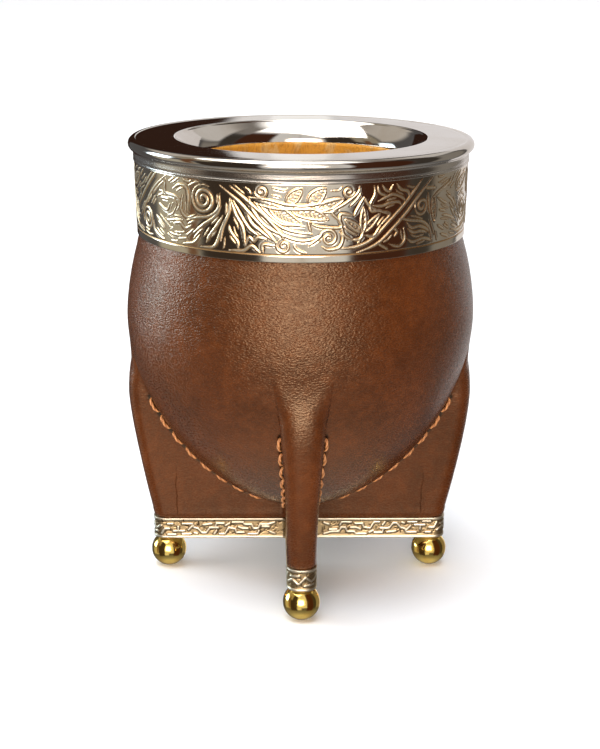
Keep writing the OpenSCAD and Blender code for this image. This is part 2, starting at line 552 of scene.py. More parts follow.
@dataclass(frozen=True)
class LeatherFinish(Finish):
    """Waxed brown leather with fine grain, with painted shade in its fold creases and round its awl holes.
    """

    dark: Colour = srgb(58, 27, 8)
    mid: Colour = srgb(80, 38, 11)
    light: Colour = srgb(110, 58, 22)
    # Near black: the painted shade in the fold creases and awl holes.
    hole: Colour = srgb(24, 10, 5)
    gloss: float = 0.7
    gloss_tint: Colour = (1.0, 0.76, 0.5, 1.0)
    wax: float = 0.02
    cloud_size: float = 42.0
    fleck_size: float = 420.0
    grain_size: float = 2000.0
    grain_depth: float = 0.0002
    grain_strength: float = 0.8
    grain_sway: float = 30.0
    grain_low: float = 52.0
    grain_high: float = 84.0
    fold_x: float = 31.5
    fold_low: float = 14.0
    fold_high: float = 28.5
    fold_w: float = 0.18

    def paint(self, graph: Graph, shader: bpy.types.Node) -> None:
        """Lay grain on waxed brown, with painted shade in the folds and awl holes.

        Args:
            graph: The material's builder.
            shader: The material's Principled shader.
        """
        place = graph.place()
        grain = graph.effect(Effects.grain(), self.grain_size)
        cloud = graph.noise(place, self.cloud_size, 4.0, Roughness=0.6)
        fine = graph.noise(place, self.fleck_size, 3.0)
        tone = graph.mix(graph.ramp(cloud, 0.3, 0.72), self.dark, self.mid)
        tone = graph.mix(graph.times(graph.ramp(fine, 0.4, 0.75), 0.22), tone, self.light)
        pores = graph.ramp(grain["Pebbles"], 0.75, 0.3)
        tone = graph.mix(graph.times(pores, 0.12), tone, self.light)
        fold = self.fold_line(graph, place)
        # Painted shade: the fold creases and the awl holes are darkened toward the colour hole.
        tone = graph.mix(graph.times(fold, 0.45), tone, self.hole)
        tone = graph.mix(graph.ramp(graph.mask("awl"), 0.08, 0.5), tone, self.hole)
        rough = graph.scaled(cloud, 0.08, 0.2)
        rough = graph.scaled(graph.ramp(grain["Pebbles"], 0.3, 0.8), 0.08, rough)
        height = graph.times(grain["Pebbles"], -0.7)
        height = graph.scaled(grain["Wrinkles"], 1.1, height)
        up_at = graph.add("SeparateXYZ", Vector=place).outputs[2]
        worn = graph.scaled(cloud, self.grain_sway * MM, up_at)
        worn = graph.ramp(worn, self.grain_low * MM, self.grain_high * MM)
        height = graph.times(height, graph.scaled(worn, 0.8, 0.2))
        height = graph.scaled(fold, -0.5, height)
        normal = graph.bump(height, self.grain_depth, self.grain_strength)
        graph.feed(shader, Base_Color=tone, Roughness=rough, Normal=normal)
        graph.feed(shader, Specular_IOR_Level=self.gloss, Specular_Tint=self.gloss_tint)
        graph.feed(shader, Coat_Weight=self.wax, Coat_Roughness=0.25)

    def fold_line(self, graph: Graph, place: bpy.types.NodeSocket) -> bpy.types.NodeSocket:
        """Return a mask of the fold lines that run up the fins' sides.

        Args:
            graph: The material's builder.
            place: Coordinates on the object.

        Returns:
            1 on a fold line and 0 away from it.
        """
        axes = graph.add("SeparateXYZ", Vector=place).outputs
        far = graph.math("MAXIMUM", graph.math("ABSOLUTE", axes[0]), graph.math("ABSOLUTE", axes[1]))
        sway = graph.scaled(graph.noise(place, 190.0, 3.0), 0.002, -0.001)
        off = graph.math("SUBTRACT", graph.math("ADD", far, sway), self.fold_x * MM)
        away = graph.math("ABSOLUTE", off)
        line = graph.ramp(away, self.fold_w * MM, 0.0)
        low = graph.ramp(axes[2], self.fold_low * MM, (self.fold_low + 2.0) * MM)
        high = graph.ramp(axes[2], self.fold_high * MM, (self.fold_high - 5.0) * MM)
        return graph.times(line, graph.times(low, high))


class Polish(Enum):
    """How a rim's metal is worked, with its roughness."""

    MIRROR = 0.05
    BRUSHED = 0.16


@dataclass(frozen=True)
class SilverFinish(Finish):
    """Polished or brushed nickel silver."""

    polish: Polish = Polish.MIRROR
    colour: Colour = srgb(214, 208, 200)
    tint: Colour = srgb(190, 176, 158)
    blotch_size: float = 90.0
    brush_size: float = 3600.0

    def paint(self, graph: Graph, shader: bpy.types.Node) -> None:
        """Lay faint blotches and rubbing on bright metal, and fine lines where it is brushed.

        Args:
            graph: The material's builder.
            shader: The material's Principled shader.
        """
        marks = graph.effect(Effects.tarnish(), self.blotch_size)
        tone = graph.mix(graph.times(marks["Blotches"], 0.45), self.colour, self.tint)
        low = self.polish.value
        rough = graph.scaled(marks["Blotches"], low * 0.5, low)
        rough = graph.scaled(marks["Rubbing"], low * 0.5, rough)
        height, depth = marks["Rubbing"], 0.000015
        if self.polish is Polish.BRUSHED:
            height = graph.noise(graph.stretched(graph.place(), 0.03, 0.03, 1.0), self.brush_size, 2.0)
            depth = 0.0001
        normal = graph.bump(height, depth, 0.3)
        graph.feed(shader, Base_Color=tone, Metallic=1.0, Roughness=rough, Normal=normal)


@dataclass(frozen=True)
class EngravedFinish(Finish):
    """Worked metal: polished where it stands, tanned and duller where it is cut, and painted bright as a
    highlight on its crests.
    """

    field: Colour = srgb(220, 212, 196)
    flank: Colour = srgb(204, 164, 112)
    # Painted highlight: the crests' colour is lighter than the plain metal, as if lit.
    crest: Colour = srgb(246, 234, 208)
    # Darkest colour: used for tarnish blotches and for painted shade.
    tarnish_and_shade: Colour = srgb(64, 46, 32)
    field_rough: float = 0.1
    worked_rough: float = 0.24
    stain: float = 0.0
    blotch_size: float = 150.0

    def paint(self, graph: Graph, shader: bpy.types.Node) -> None:
        """Lay plain, flank and crest metal by the mask "cut", with the crests painted bright as a highlight,
        then darken it by tarnish blotches and by the painted shade of the trim's mask.

        Args:
            graph: The material's builder.
            shader: The material's Principled shader.
        """
        marks = graph.effect(Effects.tarnish(), self.blotch_size)
        cut = graph.mask("cut")
        tone = graph.mix(graph.times(marks["Blotches"], 0.25), self.field, self.flank)
        tone = graph.mix(graph.ramp(cut, 0.08, 0.38), tone, self.flank)
        # The crests take the painted highlight colour.
        tone = graph.mix(graph.ramp(cut, 0.5, 0.95), tone, self.crest)
        # Darken by the tarnish blotches and by the trim's mask of painted shade.
        if self.stain:
            shade = graph.math("MULTIPLY_ADD", marks["Blotches"], self.stain, graph.mask("shade_and_end_darkening"), clamp=True)
            tone = graph.mix(shade, tone, self.tarnish_and_shade)
        rough = graph.scaled(graph.ramp(cut, 0.05, 0.4), self.worked_rough, self.field_rough)
        rough = graph.scaled(marks["Rubbing"], 0.05, rough)
        normal = graph.bump(marks["Rubbing"], 0.00002, 0.2)
        graph.feed(shader, Base_Color=tone, Metallic=1.0, Roughness=rough, Normal=normal)


@dataclass(frozen=True)
class BrassFinish(Finish):
    """Polished yellow brass."""

    colour: Colour = srgb(255, 222, 128)
    tint: Colour = srgb(236, 186, 84)
    blotch_size: float = 320.0

    def paint(self, graph: Graph, shader: bpy.types.Node) -> None:
        """Lay soft blotches on bright brass.

        Args:
            graph: The material's builder.
            shader: The material's Principled shader.
        """
        marks = graph.effect(Effects.tarnish(), self.blotch_size)
        tone = graph.mix(graph.times(marks["Blotches"], 0.6), self.colour, self.tint)
        rough = graph.scaled(marks["Blotches"], 0.08, 0.09)
        normal = graph.bump(marks["Blotches"], 0.00015, 0.12)
        graph.feed(shader, Base_Color=tone, Metallic=1.0, Roughness=rough, Normal=normal)


@dataclass(frozen=True)
class GourdFinish(Finish):
    """Raw dried gourd: golden, with tan scraped patches and brown specks."""

    gold: Colour = srgb(200, 142, 42)
    tan: Colour = srgb(198, 158, 92)
    brown: Colour = srgb(112, 68, 26)
    patch_size: float = 190.0
    fibre_size: float = 1500.0
    crease_size: float = 420.0

    def paint(self, graph: Graph, shader: bpy.types.Node) -> None:
        """Lay tan patches, fibres and creases on the golden wall.

        Args:
            graph: The material's builder.
            shader: The material's Principled shader.
        """
        place = graph.place()
        patch = graph.noise(place, self.patch_size, 4.0, Roughness=0.6, Distortion=0.6)
        flat = graph.stretched(place, 1.0, 1.0, 0.35)
        fibre = graph.noise(flat, self.fibre_size, 4.0, Roughness=0.7)
        crease = graph.noise(flat, self.crease_size, 5.0, Roughness=0.7, Distortion=1.2)
        line = graph.ramp(graph.math("ABSOLUTE", graph.math("SUBTRACT", crease, 0.5)), 0.03, 0.0)
        tone = graph.mix(graph.ramp(patch, 0.5, 0.62), self.gold, self.tan)
        tone = graph.mix(graph.times(graph.ramp(fibre, 0.5, 0.8), 0.5), tone, self.brown)
        tone = graph.mix(graph.times(line, 0.4), tone, self.brown)
        height = graph.math("ADD", graph.times(patch, 1.5), fibre)
        graph.feed(shader, Base_Color=tone, Roughness=0.62, Normal=graph.bump(height, 0.0005, 0.5))


@dataclass(frozen=True)
class ThreadFinish(Finish):
    """Waxed tan thread with fibres along its plies."""

    light: Colour = srgb(214, 150, 92)
    dark: Colour = srgb(140, 78, 34)
    fibre_size: float = 5200.0

    def paint(self, graph: Graph, shader: bpy.types.Node) -> None:
        """Lay fibres on the thread and paint shade between its plies.

        Args:
            graph: The material's builder.
            shader: The material's Principled shader.
        """
        fibre = graph.noise(graph.place(), self.fibre_size, 3.0)
        # Painted shade in the grooves between the plies.
        between = graph.times(graph.mask("ply"), 0.75)
        share = graph.scaled(graph.ramp(fibre, 0.35, 0.75), 0.4, between)
        tone = graph.mix(share, self.light, self.dark)
        graph.feed(shader, Base_Color=tone, Roughness=0.5, Normal=graph.bump(fibre, 0.00012, 0.6))


@dataclass(frozen=True)
class FloorFinish(Finish):
    """Plain pale studio floor."""

    colour: Colour = (0.92, 0.955, 1.0, 1.0)
    shade: Colour = (0.88, 0.91, 0.96, 1.0)

    def paint(self, graph: Graph, shader: bpy.types.Node) -> None:
        """Lay a barely seen cloudiness on the paper.

        Args:
            graph: The material's builder.
            shader: The material's Principled shader.
        """
        cloud = graph.noise(graph.place(), 3.0, 2.0)
        tone = graph.mix(graph.times(cloud, 0.02), self.colour, self.shade)
        graph.feed(shader, Base_Color=tone, Roughness=0.75)


def dress(obj: bpy.types.Object, finish: Finish, slot: str, *nodes: str) -> None:
    """Give a piece its material and tie it to the frame.

    Args:
        obj: The piece.
        finish: Its finish.
        slot: Not used.
        *nodes: The frame's nodes that it stands for.
    """
    obj.data.materials.clear()
    obj.data.materials.append(finish.build())
    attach(obj, BODY)
    if nodes:
        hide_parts(*nodes)
    LOG.info("%s: %d faces", obj.name, len(obj.data.polygons))


# The leather cover and its seams


@dataclass(frozen=True)
class CoverForm:
    """Shape of the leather cover: a bowl and four fins, in millimetres."""

    levels: Levels
    shoulder_inset: float = 3.9
    shoulder_power: float = 1.7
    belly_power: float = 1.78
    fin_gap: float = 4.0
    fin_taper: float = 6.0
    fin_bulge_drop: float = 21.2
    fin_w: float = 10.2
    fin_low_w: float = 7.0
    fin_nose: float = 3.6
    end_power: float = 2.3
    edge_power: float = 1.48
    thick_power: float = 1.6
    top_back: float = 0.01
    thread_off: float = 0.6
    seam_top: float = 22.0
    seam_end: float = 4.5
    trim_half: float = 4.65
    stitches: int = 8
    stitch_share: float = 0.66

    @property
    def bowl_r(self) -> float:
        """Widest radius of the bowl."""
        return self.levels.fin_reach - self.levels.fin_out

    @property
    def bowl_drop(self) -> float:
        """Depth of the bowl below its widest level."""
        return self.levels.bowl_z - self.levels.trim_top - self.fin_gap

    @property
    def bulge_z(self) -> float:
        """Height of the fins' furthest reach."""
        return self.levels.bowl_z - self.fin_bulge_drop

    def belly(self, angle: float) -> Point:
        """Return (radius, height) on the bowl's lower outline, at an angle from its bottom."""
        power = 2 / self.belly_power
        depth = self.bowl_drop * math.cos(angle) ** power
        return self.bowl_r * math.sin(angle) ** power, self.levels.bowl_z - depth

    def belly_angle(self, radius: float) -> float:
        """Return the angle at which the lower outline has this radius."""
        return math.asin((radius / self.bowl_r) ** (self.belly_power / 2))

    def inside(self, angle: float, leather_t: float) -> Point:
        """Return (radius, height) on the leather's inner face, at an angle on the lower outline."""
        radius, z = self.belly(angle)
        depth = (self.levels.bowl_z - z) * (1.0 - leather_t / self.bowl_drop)
        return radius * (1.0 - leather_t / self.bowl_r), self.levels.bowl_z - depth

    def shoulder(self, height: float) -> float:
        """Return the bowl's radius at a height above its widest level."""
        share = height / self.levels.bowl_rise
        return self.bowl_r - self.shoulder_inset * share**self.shoulder_power

    def fin_edge(self, z: float) -> float:
        """Return how far a fin reaches at this height."""
        if z > self.bulge_z:
            return self.levels.fin_reach - self.top_back * (z - self.bulge_z) ** 2
        share = (self.bulge_z - z) / (self.bulge_z - self.levels.trim_top)
        return self.levels.fin_reach - self.fin_taper * share**self.edge_power

    def fin_half(self, z: float) -> float:
        """Return half of a fin's thickness at this height."""
        share = max(0.0, (z - self.levels.trim_top) / (self.bulge_z - self.levels.trim_top))
        return (self.fin_low_w + (self.fin_w - self.fin_low_w) * share**self.thick_power) / 2

    def seam_point(self, angle: float, off: float) -> Array:
        """Return a point of the seam on the +Y side of the fin along +X.

        Args:
            angle: Angle on the bowl's lower outline.
            off: Distance from both the bowl and the fin's side.

        Returns:
            The point.
        """
        before, after = self.belly(angle - 0.01), self.belly(angle + 0.01)
        along = np.array([after[0] - before[0], after[1] - before[1]])
        along /= np.linalg.norm(along)
        radius, z = self.belly(angle)
        radius += along[1] * off
        z -= along[0] * off
        y = self.fin_half(z) + off
        return np.array([math.sqrt(radius * radius - y * y), y, z])

    def stitch_angles(self) -> list[tuple[float, float]]:
        """Return where each stitch of a seam starts and ends, as angles on the lower outline."""
        share = self.seam_top / self.bowl_drop
        start = math.acos(share ** (self.belly_power / 2))
        stop = self.belly_angle(self.trim_half + self.seam_end)
        pitch = (start - stop) / self.stitches
        length = pitch * self.stitch_share
        return [(start - pitch * k, start - pitch * k - length) for k in range(self.stitches)]


@dataclass
class LeatherCover:
    """The sewn cover: one skin that is drawn out into four fins."""

    form: CoverForm
    leather_t: float = 2.0
    nose_steps: int = 10
    side_steps: int = 22
    arc_steps: int = 28
    belly_rows: int = 100
    shoulder_rows: int = 26
    foot_rows: int = 8
    inner_rows: int = 14
    tuck: float = 0.9
    tuck_depth: float = 1.4
    blend_low: float = 0.8
    blend_top: float = 5.0
    blend_start: float = 45.0
    blend_end: float = 59.0
    hub_fillet: float = 0.5
    awl_r: float = 0.8
    awl_depth: float = 0.4
    last: Array = field(init=False)

    @property
    def neck_r(self) -> float:
        """Radius at the leather's upper edge, which the collar hides."""
        return self.form.shoulder(self.form.levels.bowl_rise) + self.form.levels.collar_flare - 0.1

    def sector(self, reach: float, half: float, radius: float, blend: float) -> Array:
        """Work out an eighth of the cover's section at one level.

        Args:
            reach: How far the fin reaches.
            half: Half of the fin's thickness.
            radius: The bowl's radius.
            blend: Width of the rounding between fin and bowl.

        Returns:
            Points as (angle, distance from the axis).
        """
        nose = self.form.fin_nose
        turn = np.linspace(0.0, math.pi / 2, self.nose_steps + 1)
        power = 2 / self.form.end_power
        x = reach - nose + nose * np.cos(turn) ** power
        y = half * np.sin(turn) ** power
        nose_angle = np.arctan2(y, x)
        corner = math.asin(min(0.7, half / max(radius, 1.9 * half)))
        corner = max(corner, nose_angle[-1] + 0.02)
        share = ease(np.linspace(0.0, 1.0, self.side_steps + 1)[1:])
        x_side = x[-1] + (half / math.tan(corner) - x[-1]) * share
        side_angle = np.arctan2(half, x_side)
        if half / math.tan(corner) >= x[-1] - 0.5:
            side_angle = nose_angle[-1] + (corner - nose_angle[-1]) * share
        step = np.linspace(0.0, 1.0, self.arc_steps + 1)[1:]
        arc_angle = corner + (math.pi / 4 - corner) * (0.45 * step + 0.55 * step * step)
        flank_angle = np.concatenate([side_angle, arc_angle])
        angles = np.concatenate([nose_angle, flank_angle])
        arm = np.concatenate([np.hypot(x, y), half / np.sin(flank_angle)])
        hub = half * math.sqrt(2.0) + self.hub_fillet
        round_part = np.full(len(angles), max(radius, hub))
        width = blend * (1.0 - 0.7 * np.exp(-((angles / 0.14) ** 2)))
        return np.stack([angles, smooth_max(arm, round_part, width)], axis=1)

    def ring(self, eighth: Array) -> Array:
        """Mirror and turn an eighth of a section into the whole section."""
        mirrored = np.stack([math.pi / 2 - eighth[::-1, 0], eighth[::-1, 1]], axis=1)[1:-1]
        quarter = np.concatenate([eighth, mirrored])
        whole = [quarter + np.array([k * math.pi / 2, 0.0]) for k in range(4)]
        angle, far = np.concatenate(whole + [whole[0][:1] + np.array([2 * math.pi, 0.0])]).T
        return np.stack([far * np.cos(angle), far * np.sin(angle)], axis=1)

    def outer_rows(self) -> Iterator[Array]:
        """Yield the outside's sections, from inside the foot trim up to the neck."""
        form, levels = self.form, self.form.levels
        low_reach, low_half = levels.trim_reach - self.tuck, form.fin_low_w / 2 - self.tuck * 0.75
        for z in (levels.trim_top - self.tuck_depth, levels.trim_top - 0.15):
            yield self.level(z, low_reach, low_half, 0.0, self.blend_low)
        hub_angle = form.belly_angle(form.fin_low_w / 2 * math.sqrt(2.0) + self.hub_fillet)
        bottom_z = form.belly(hub_angle)[1]
        foot = np.linspace(levels.trim_top + 0.05, bottom_z - 0.2, self.foot_rows)
        for index, z in enumerate(foot):
            pinch = 0.35 if index == 0 else 0.0
            yield self.level(z, form.fin_edge(z) - pinch, form.fin_half(z) - pinch, 0.0, self.blend_low)
        for angle in np.linspace(hub_angle, math.pi / 2, self.belly_rows):
            radius, z = form.belly(float(angle))
            soften = ease((z - self.blend_start) / (self.blend_end - self.blend_start))
            blend = self.blend_low + (self.blend_top - self.blend_low) * float(soften)
            yield self.level(z, form.fin_edge(z), form.fin_half(z), radius, blend)
        for share in np.linspace(0.0, 1.0, self.shoulder_rows + 1)[1:]:
            z = levels.bowl_z + levels.bowl_rise * float(share)
            yield self.round_level(z, form.shoulder(z - levels.bowl_z))
        yield self.round_level(levels.neck_z - 0.1, self.neck_r)

    def level(self, z: float, reach: float, half: float, radius: float, blend: float) -> Array:
        """Return one section's points at a height."""
        self.last = self.sector(reach, half, radius, blend)
        flat = self.ring(self.last)
        return np.column_stack([flat, np.full(len(flat), z)])

    def round_level(self, z: float, radius: float) -> Array:
        """Return a round section's points at a height, in line with the fins' own points."""
        eighth = np.stack([self.last[:, 0], np.full(len(self.last), radius)], axis=1)
        flat = self.ring(eighth)
        return np.column_stack([flat, np.full(len(flat), z)])

    def inner_rows_points(self) -> Iterator[Array]:
        """Yield the inside's sections, from the neck down to the bottom."""
        form, levels = self.form, self.form.levels
        yield self.round_level(levels.neck_z - 0.1, self.neck_r - self.leather_t)
        for share in np.linspace(1.0, 0.0, 6):
            z = levels.bowl_z + levels.bowl_rise * float(share)
            yield self.round_level(z, form.shoulder(z - levels.bowl_z) - self.leather_t)
        for angle in np.linspace(math.pi / 2, 0.0, self.inner_rows)[1:]:
            radius, z = form.inside(float(angle), self.leather_t)
            yield self.round_level(z, radius)

    def awl_holes(self) -> Array:
        """Return the places where the thread goes through the leather."""
        spots = []
        for start, stop in self.form.stitch_angles():
            for angle in (start + 0.012, stop - 0.012):
                spots.append(self.form.seam_point(angle, 0.12))
        one = np.array(spots)
        both = np.concatenate([one, one * np.array([1.0, -1.0, 1.0])])
        return np.concatenate([both @ turn for turn in quarter_turns()])

    def build(self) -> None:
        """Model the cover and dress it."""
        outer = list(self.outer_rows())
        rows = outer + list(self.inner_rows_points())
        points = np.concatenate(rows)
        outside = np.arange(len(points)) < len(outer) * len(rows[0])
        self.sway(points, outside)
        mask = np.zeros(len(points))
        for spot in self.awl_holes():
            near = np.exp(-(np.sum((points - spot) ** 2, axis=1)) / self.awl_r**2) * outside
            mask = np.maximum(mask, near)
        far = np.hypot(points[:, 0], points[:, 1])
        points[:, :2] *= (1.0 - self.awl_depth * mask / np.maximum(far, 5.0))[:, None]
        obj = bent_sheet(points.reshape(len(rows), -1, 3), {"awl": mask})
        floor_z = self.form.levels.trim_top - self.tuck_depth
        close_holes(obj, lambda a: abs(a.z - floor_z) < 0.01)
        finish_mesh(obj, "leather_cover_skin")
        dress(obj, LeatherFinish("waxed_leather"), "leather", "leather_cover")

    def sway(self, points: Array, outside: Array) -> None:
        """Press soft hollows into the outside, between the foot trim and the collar.

        Args:
            points: The cover's points, which it moves.
            outside: Whether each point is outside.
        """
        x, y, z = points.T
        levels = self.form.levels
        wave = 0.10 * np.sin(0.11 * x + 0.7) * np.sin(0.13 * z + 0.4) + 0.08 * np.sin(0.21 * y + 0.17 * z)
        free = outside & (z >= levels.trim_top + 2.0) & (z <= levels.collar_z - 3.0)
        points[:, :2] *= (1.0 + (wave - 0.18) * free / np.maximum(np.hypot(x, y), 8.0))[:, None]


@dataclass
class Stitching:
    """The thread of one seam, as short twisted stitches that dive into the leather."""

    form: CoverForm
    thread_r: float = 0.46
    rings: int = 15
    sides: int = 12
    plies: int = 2
    turns_per_mm: float = 0.34
    sink: float = 0.8

    def stitch(self, number: int) -> bpy.types.Object:
        """Model one stitch on the +Y side of the fin along +X.

        Args:
            number: Which stitch of the seam it is, from the top.

        Returns:
            The stitch.
        """
        start, stop = self.form.stitch_angles()[number]
        deselect_all()
        bpy.ops.mesh.primitive_cylinder_add(vertices=self.sides, radius=0.5, depth=1.0, end_fill_type="NGON")
        obj = bpy.context.object
        with editing(obj):
            for ring in range(1, self.rings - 1):
                height = -0.5 + ring / (self.rings - 1)
                bpy.ops.mesh.select_all(action="SELECT")
                bpy.ops.mesh.bisect(plane_co=(0, 0, height), plane_no=(0, 0, 1))
        local = np.array([v.co for v in obj.data.vertices])
        along = np.clip(local[:, 2] + 0.5, 0.0, 1.0)
        around = np.arctan2(local[:, 1], local[:, 0])
        off = self.form.thread_off
        spine = np.array([self.form.seam_point(start + (stop - start) * t, off) for t in along])
        a, b = self.form.seam_point(start, off), self.form.seam_point(stop, off)
        length = float(np.linalg.norm(b - a))
        tangent = (b - a) / length
        spine += np.outer((along - 0.5) * 2.0 * self.thread_r * 0.9, tangent)
        wall = np.array([0.0, 1.0, 0.0])
        down = np.cross(tangent, wall)
        down /= np.linalg.norm(down)
        if down[2] > 0:
            down = -down
        out = (wall + down) / np.linalg.norm(wall + down)
        rise = np.sin(math.pi * along) ** 0.4
        spine += np.outer(0.14 * rise - self.sink * (1.0 - rise), out)
        cross = np.cross(tangent, out)
        twist = self.plies * (around + 2 * math.pi * self.turns_per_mm * along * length)
        ply = np.cos(twist + number)
        radius = self.thread_r * (0.9 + 0.15 * ply) * (0.72 + 0.28 * rise)
        radius *= 1.0 + 0.05 * math.sin(2.4 * number)
        spine += np.outer(radius * np.cos(around), cross) + np.outer(radius * np.sin(around) * 0.86, out)
        set_points(obj, spine)
        # The mask ply is high in the grooves between plies, where the thread's finish paints shade.
        set_mask(obj, "ply", 0.5 - 0.5 * ply)
        return obj

    def build(self) -> None:
        """Model one seam's thread, copy it to the other seams and dress each copy."""
        parts = [self.stitch(number) for number in range(self.form.stitches)]
        choose(*parts)
        bpy.ops.object.join()
        first = finish_mesh(bpy.context.object, "seam_thread")
        for turn, side in enumerate(SIDES):
            for mark, flip in (("a", 1.0), ("b", -1.0)):
                choose(first)
                bpy.ops.object.duplicate(linked=False)
                copy = bpy.context.object
                copy.scale = (1.0, flip, 1.0)
                copy.rotation_euler = (0.0, 0.0, turn * math.pi / 2)
                finish_mesh(copy, f"seam_thread_{side}_{mark}")
                dress(copy, ThreadFinish("waxed_thread"), "thread", f"thread_{side}_{mark}")
        bpy.data.objects.remove(first)


# The gourd, the rim and the ball feet


@dataclass
class Gourd:
    """The dried gourd, hollowed out, with a scraped wall."""

    levels: Levels
    form: CoverForm
    leather_t: float = 2.1
    wall_t: float = 7.5
    floor_t: float = 9.0
    ring_w: float = 10.3
    funnel_inset: float = 3.6
    rim_t: float = 0.9
    scrape: float = 0.3
    steps: int = 220

    @property
    def cavity_r(self) -> float:
        """Widest radius of the hollow."""
        return self.form.bowl_r - self.leather_t - self.wall_t

    def outline(self) -> list[Point]:
        """Return the gourd's outline, from its bottom up outside and down inside."""
        form, levels = self.form, self.levels
        outer = [form.inside(math.pi / 2 * k / 14, self.leather_t) for k in range(15)]
        for k in range(1, 9):
            rise = levels.bowl_rise * k / 8
            outer.append((form.shoulder(rise) - self.leather_t, levels.bowl_z + rise))
        mouth_r = levels.collar_top_r - self.ring_w
        seat_r = mouth_r - self.funnel_inset + self.rim_t + 0.1
        neck_r = form.shoulder(levels.bowl_rise) + levels.collar_flare - self.leather_t
        outer += [
            (neck_r, levels.top_z - self.rim_t - 0.1),
            (mouth_r + self.rim_t + 0.1, levels.top_z - self.rim_t - 0.1),
            (seat_r, levels.neck_z),
        ]
        mouth, cavity = mouth_r - self.funnel_inset, self.cavity_r
        floor_z = levels.trim_top + form.fin_gap + self.leather_t + self.floor_t
        inner = []
        for k in range(49):
            share = 1.0 - k / 48
            radius = cavity - (cavity - mouth) * float(ease(share))
            inner.append((radius, levels.bowl_z + (levels.neck_z - 0.1 - levels.bowl_z) * share))
        for k in range(1, 41):
            angle = math.pi / 2 * (1.0 - k / 40)
            depth = (levels.bowl_z - floor_z) * math.cos(angle)
            inner.append((cavity * math.sin(angle), levels.bowl_z - depth))
        return outer + inner

    def build(self) -> None:
        """Model the gourd and dress it."""
        obj = turned("gourd_shell", self.outline(), self.steps, closed=False)
        inside = obj.vertex_groups.new(name="inside")
        low, high = self.levels.trim_top + 13.0, self.levels.neck_z - 0.5
        chosen = []
        for vertex in obj.data.vertices:
            x, y, z = vertex.co / MM
            if math.hypot(x, y) < self.cavity_r + 0.5 and low < z < high:
                chosen.append(vertex.index)
        inside.add(chosen, 1.0, "REPLACE")
        texture = bpy.data.textures.new("scraped_wall", "CLOUDS")
        texture.noise_scale = 4.5 * MM
        texture.noise_depth = 3
        apply_modifier(
            obj,
            "DISPLACE",
            texture=texture,
            texture_coords="LOCAL",
            strength=self.scrape * MM * 2.0,
            mid_level=0.5,
            vertex_group="inside",
        )
        finish_mesh(obj, "gourd_shell")
        dress(obj, GourdFinish("raw_gourd"), "gourd", "gourd")


@dataclass
class Rim:
    """The spun rim: a funnel in the mouth, a crowned flat top, a bead and a brushed neck band."""

    levels: Levels
    ring_w: float = 10.3
    funnel_inset: float = 3.6
    bead_r: float = 1.4
    neck_h: float = 2.5
    rim_t: float = 0.9
    lip_r: float = 0.55
    crown: float = 0.03
    steps: int = 288

    def outline(self) -> list[Point]:
        """Return the rim's outline."""
        levels = self.levels
        mouth_r = levels.collar_top_r - self.ring_w
        funnel_r = mouth_r - self.funnel_inset
        bead_c = levels.rim_r - self.bead_r
        bead_z = levels.top_z - self.bead_r
        band_r = levels.collar_top_r + 0.1
        lip = self.lip_r
        lip_z = levels.top_z - lip
        points: list[Point] = []
        rise = lip_z - levels.neck_z
        for k in range(13):
            share = k / 12
            radius = funnel_r + (self.funnel_inset - 0.1) * share**1.7
            points.append((radius, levels.neck_z + rise * share))
        for k in range(1, 7):
            angle = math.pi - math.pi / 2 * k / 6
            points.append((mouth_r + lip + lip * math.cos(angle), lip_z + lip * math.sin(angle)))
        flat = bead_c - 1.2 - (mouth_r + lip)
        for k in range(1, 11):
            share = k / 10
            sag = self.crown * (math.sin(math.pi * share) - 0.6 * share * share)
            points.append((mouth_r + lip + flat * share, levels.top_z - self.crown + sag))
        for k in range(15):
            angle = math.radians(118 - 178 * k / 14)
            points.append((bead_c + self.bead_r * math.cos(angle), bead_z + self.bead_r * math.sin(angle)))
        band = (
            (0.25, self.neck_h + 0.05), (0.02, self.neck_h - 0.25), (0.0, self.neck_h - 0.6), (0.0, 1.2),
            (0.0, 0.8), (-0.14, 0.66), (-0.14, 0.6), (0.0, 0.48), (0.03, 0.3), (0.0, 0.1), (-0.1, 0.0),
            (-self.rim_t, 0.0),
        )
        points += [(band_r + out, levels.neck_z + up) for out, up in band]
        under_z = levels.top_z - self.rim_t
        points += [(band_r - self.rim_t, under_z), (mouth_r + self.rim_t, under_z)]
        points += [(funnel_r + self.rim_t, levels.neck_z), (funnel_r + 0.2, levels.neck_z)]
        return points

    def build(self) -> None:
        """Model the rim and dress it: mirror metal, with a brushed neck band."""
        obj = turned("rim_metal", self.outline(), self.steps)
        smooth_by_angle(obj, 48)
        dress(obj, SilverFinish("rim_mirror"), "rim", "rim")
        obj.data.materials.append(SilverFinish("rim_brushed", Polish.BRUSHED).build())
        band_low, band_high = self.levels.neck_z - 0.05, self.levels.neck_z + self.neck_h - 0.2
        band_r = self.levels.collar_top_r - 0.3
        for face in obj.data.polygons:
            centre = face.center / MM
            if band_low < centre.z < band_high and math.hypot(centre.x, centre.y) > band_r:
                face.material_index = 1


